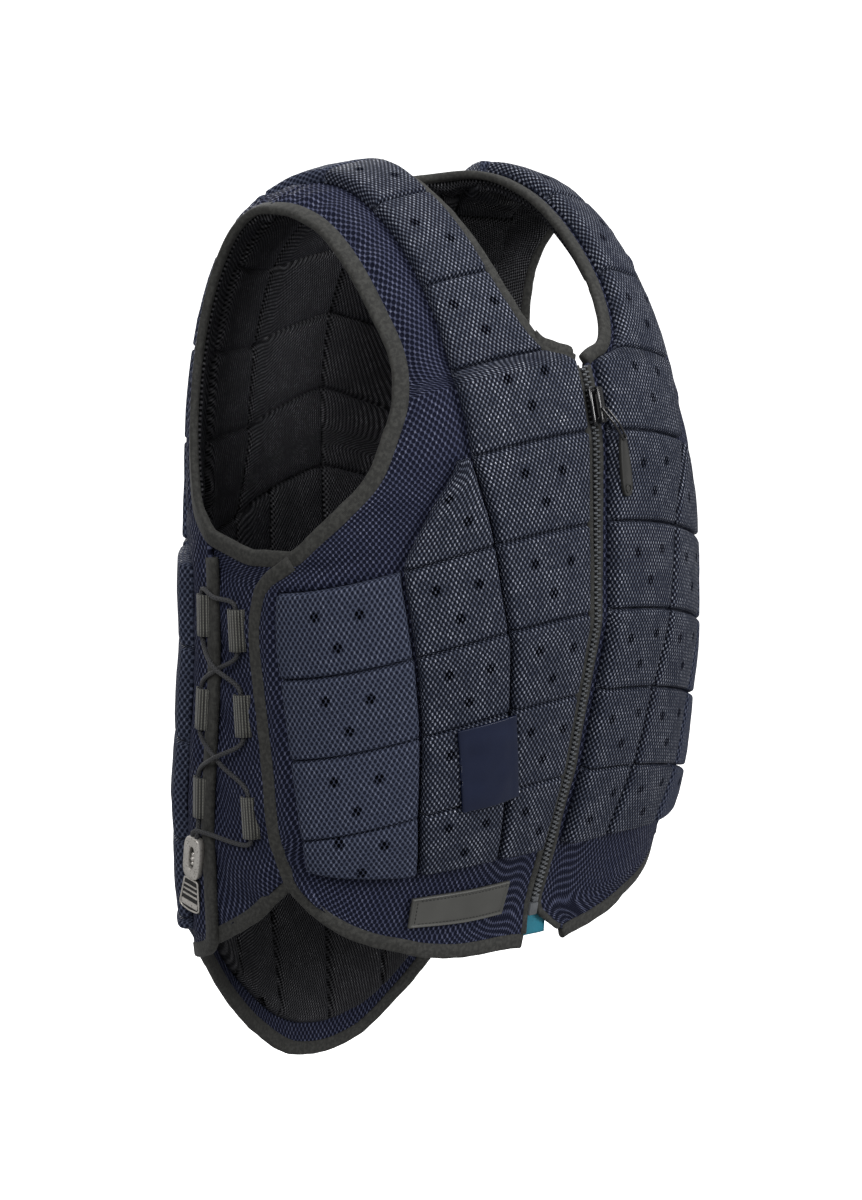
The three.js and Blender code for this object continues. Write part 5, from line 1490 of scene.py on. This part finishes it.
def rounded_line(points, step):
    """A smooth curve through some points."""
    points = np.array(points)
    gone = np.concatenate([[0], np.cumsum(np.linalg.norm(np.diff(points, axis=0), axis=1) ** 0.6)])
    tangents = np.gradient(points, gone, axis=0)
    made = []
    for a, b, p, q, m, n in zip(gone, gone[1:], points, points[1:], tangents, tangents[1:]):
        h = b - a
        t = np.linspace(0, 1, 14, endpoint=False)[:, None]
        made.append(
            (2 * t ** 3 - 3 * t ** 2 + 1) * p + (t ** 3 - 2 * t ** 2 + t) * h * m
            + (3 * t ** 2 - 2 * t ** 3) * q + (t ** 3 - t ** 2) * h * n
        )
    made = np.concatenate([*made, points[-1:]])
    return resampled(made, made, step, False)


for side, hand in (("right", 1), ("left", -1)):
    def through(name, way):
        seat = SEATS[name]
        foot = seat.to((0, 0, -seat.size[2] / 2))
        core = LOOP_INSIDE - LACE - FIT
        end = seat.size[1] / 2 + LACE_SLACK
        return [foot + seat.up * way * end * k + seat.out * core for k in (1, 0.3, -0.3, -1)]

    back = [f"loop_back_{side}_{n}" for n in (1, 2, 3)]
    front_loops = [f"loop_front_{side}_{n}" for n in (1, 2, 3)]
    lock = LOCKS[side]
    top = lock.to((0, lock.size[1] / 2, 0))
    ends = lambda way, above: top + lock.across * hand * way * LACE_APART + lock.up * above
    over = SEATS[front_loops[1]].out
    order = [
        (back[2], -1, LACE_HIGH), (front_loops[1], -1, LACE_HIGH), (back[0], -1, LACE_LOW),
        (front_loops[0], 1, LACE_LOW), (back[1], 1, LACE_LOW), (front_loops[2], 1, None),
    ]
    path = [ends(1, -2 * MM), ends(1, LACE_OVER)]
    for number, (name, way, hop) in enumerate(order):
        stop = through(name, way)
        path.extend(stop)
        if hop is not None:
            following = through(*order[number + 1][:2])[0]
            path.append((stop[-1] + following) / 2 + over * hop)
    path += [ends(-1, LACE_OVER), ends(-1, -2 * MM)]
    piece = rod(f"lace_{side}_look", rounded_line(path, 1.6 * MM), LACE, 12)
    shown(piece, CORD, "lace", "lace_" + side)

# Strap keeper
# A band of navy leather over two columns of blocks, for a strap to run under. Its edges are
# turned, raised a little and stitched.
KEEPER = 2 * MM
KEEPER_TOP, KEEPER_BOTTOM = 0.668, 0.778
KEEPER_ANGLES = [17.4, 21, 25.5, 30.5]
KEEPER_DRIFT = 4.9
f = Finish("navy_leather")
object_at = f.node("ShaderNodeTexCoord").outputs["Object"]
grain = f.node("ShaderNodeTexVoronoi", None, Vector=object_at, Scale=900.0)
cloud = f.noise(60.0, 3.0)
colour = f.blend(cloud, (0.004, 0.007, 0.023, 1), (0.008, 0.013, 0.038, 1))
f.bump(grain.outputs["Distance"], 0.12 * MM, 0.25)
LEATHER = f.surface(colour, Roughness=0.36, Specular_IOR_Level=0.32, Coat_Weight=0.03)
f = Finish("navy_thread")
colour = f.blend(f.noise(1200.0, 2.0), (0.03, 0.045, 0.11, 1), (0.09, 0.12, 0.24, 1))
THREAD = f.surface(colour, Roughness=0.6)

keeper_angles, keeper_levels = [], []
for share in (0, 1 / 3, 2 / 3, 1):
    at = KEEPER_TOP + (KEEPER_BOTTOM - KEEPER_TOP) * share
    keeper_angles.append([angle - KEEPER_DRIFT * share for angle in KEEPER_ANGLES])
    keeper_levels.append([-LENGTH * at for _ in KEEPER_ANGLES])
keeper = Panel(keeper_angles, keeper_levels)
pattern = Pattern(keeper, [0, 1, 2, 3], [0, 1, 2, 3], (0, 0.5 * MM, 1.1 * MM), 3 * MM)
left, right = pattern.u, pattern.u[:, -1:] - pattern.u
rim = np.exp(-(((np.minimum(left, right) - 0.9 * MM) / (0.8 * MM)) ** 2))
bow = np.sin(np.pi * pattern.u / pattern.u[:, -1:]) ** 0.7
top = PAD_FIT + KEEPER + 0.9 * MM * rim + 2.4 * MM * bow + 0.45 * MM * hills(pattern.surface, 11 * MM)
piece, _, _ = woven(pattern, "strap_keeper", top, top - KEEPER)
shown(piece, LEATHER, "leather", "strap_keeper")


def stitches(name, panel, lines, depth, length, gap, radius, material, slot):
    """Short threads along some lines on a panel, each a bar with round ends."""
    bm = bmesh.new()
    for columns, rows in lines:
        points, normals = edge_of(panel, columns, rows, depth)
        points, normals = evened(points, normals, length + gap)
        for a, b, normal in zip(points, points[1:], normals):
            way = unit(b - a)
            normal = unit(normal - way * np.dot(normal, way))
            turned = Matrix(np.column_stack([np.cross(way, normal), way, normal]).tolist()).to_4x4()
            size = Matrix.Diagonal((radius * 2, length, radius * 2, 1))
            at = Matrix.Translation((a + b) / 2) @ turned @ size
            bmesh.ops.create_icosphere(bm, subdivisions=2, radius=0.5, matrix=at)
    return solid(name, bm, material, slot)


lines = [((0.12, 0.12), (0.1, 2.9)), ((2.88, 2.88), (0.1, 2.9))]
stitches(
    "strap_keeper_stitches", keeper, lines, depth=PAD_FIT + KEEPER + 0.5 * MM, length=2.2 * MM, gap=1 * MM,
    radius=0.35 * MM, material=THREAD, slot="leather",
)

# Rubber label
# A blank label of dark grey rubber sewn on the plain cloth under the blocks, with a raised
# rim and a line of stitches just inside it.
LABEL = 1.8 * MM
LABEL_OVER = 2.2 * MM
LABEL_TOP, LABEL_BOTTOM = 0.48, 1.04
LABEL_START = 1.5
f = Finish("label_rubber")
grain = f.noise(1100.0, 3.0)
cloud = f.noise(40.0, 2.0)
colour = f.blend(cloud, (0.050, 0.050, 0.046, 1), (0.082, 0.082, 0.076, 1))
f.bump(grain, 0.08 * MM, 0.3)
LABEL_RUBBER = f.surface(colour, Roughness=0.5)
f = Finish("black_thread")
colour = f.blend(f.noise(1500.0, 2.0), (0.003, 0.003, 0.003, 1), (0.02, 0.02, 0.02, 1))
BLACK_THREAD = f.surface(colour, Roughness=0.7)
front = FRONT["right"]
label_angles, label_levels = [], []


def label_node(share, k):
    """A place on the plain cloth under the blocks, straight on from the rows above."""
    rows = [node_between(front.angles, levels_of(front), FRONT_LAST - 2 + step, k) for step in (0, 1)]
    return [a + (b - a) * share for a, b in zip(*rows)]


for share in (LABEL_TOP, LABEL_BOTTOM):
    ends = [label_node(share, k) for k in (LABEL_START, 2, 3)]
    label_angles.append([a for a, _ in ends])
    label_levels.append([z for _, z in ends])
label = Panel(label_angles, label_levels)
pattern = Pattern(label, [0, 1, 2], [0, 1], (0, 0.6 * MM, 1.2 * MM, 1.9 * MM, 2.4 * MM), 3 * MM)
left, right = pattern.u, pattern.u[:, -1:] - pattern.u
above, below = pattern.v, pattern.v[-1:] - pattern.v
inward = np.minimum(np.minimum(left, right), np.minimum(above, below))
raised = np.interp(inward / MM, [0, 0.6, 1.2, 1.9, 2.4], [0.3, 1.1, 1.1, 0.1, 0.3]) * MM
under = COVER_OUT + LABEL_OVER
piece, _, _ = woven(pattern, "label_patch", under + LABEL - 0.6 * MM + raised, under)
shown(piece, LABEL_RUBBER, "rubber", "label_patch")
lines = [
    ((0.08, 1.88), (0.12, 0.12)),
    ((0.08, 1.88), (0.88, 0.88)),
    ((0.06, 0.06), (0.13, 0.87)),
    ((1.92, 1.92), (0.13, 0.87)),
]
stitches(
    "label_stitches", label, lines, depth=under + LABEL - 0.25 * MM, length=2 * MM, gap=0.8 * MM,
    radius=0.3 * MM, material=BLACK_THREAD, slot="rubber",
)

# Woven tag
# A blank tag of teal ribbon, folded once and sewn behind the lower end of the zip.
f = Finish("teal_ribbon")
tag = Seat("inner_tag")
object_at = f.node("ShaderNodeTexCoord").outputs["Object"]
ribs = f.node("ShaderNodeTexWave", {"bands_direction": "Z"}, Vector=object_at, Scale=500.0)
colour = f.blend(ribs.outputs["Fac"], (0.004, 0.10, 0.15, 1), (0.012, 0.24, 0.33, 1))
f.bump(ribs.outputs["Fac"], 0.15 * MM, 0.5)
RIBBON = f.surface(colour, Roughness=0.6)
w, l, h = tag.size
fold = [(l / 2, -h / 2), (-l / 2, -h / 2), (-l / 2 - 0.5 * MM, 0), (-l / 2, h / 2), (l / 2, h / 2)]
track = np.array([(0, y, z) for y, z in fold])
track = resampled(track, track, 1.5 * MM, False)
rings = []
for x in np.linspace(-w / 2, w / 2, 9):
    wave = 0.5 * MM * np.sin(x / (5 * MM))
    outer = track + [0, 0, wave]
    rings.append(tag.to(outer + [x, 0, 0]))
piece = lofted("inner_tag_look", np.array(rings))
shown(piece, RIBBON, "tag", "inner_tag")

size = {
    "cad": [list(corner) for corner in cad_box],
    "visual": [list(corner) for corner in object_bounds()],
}
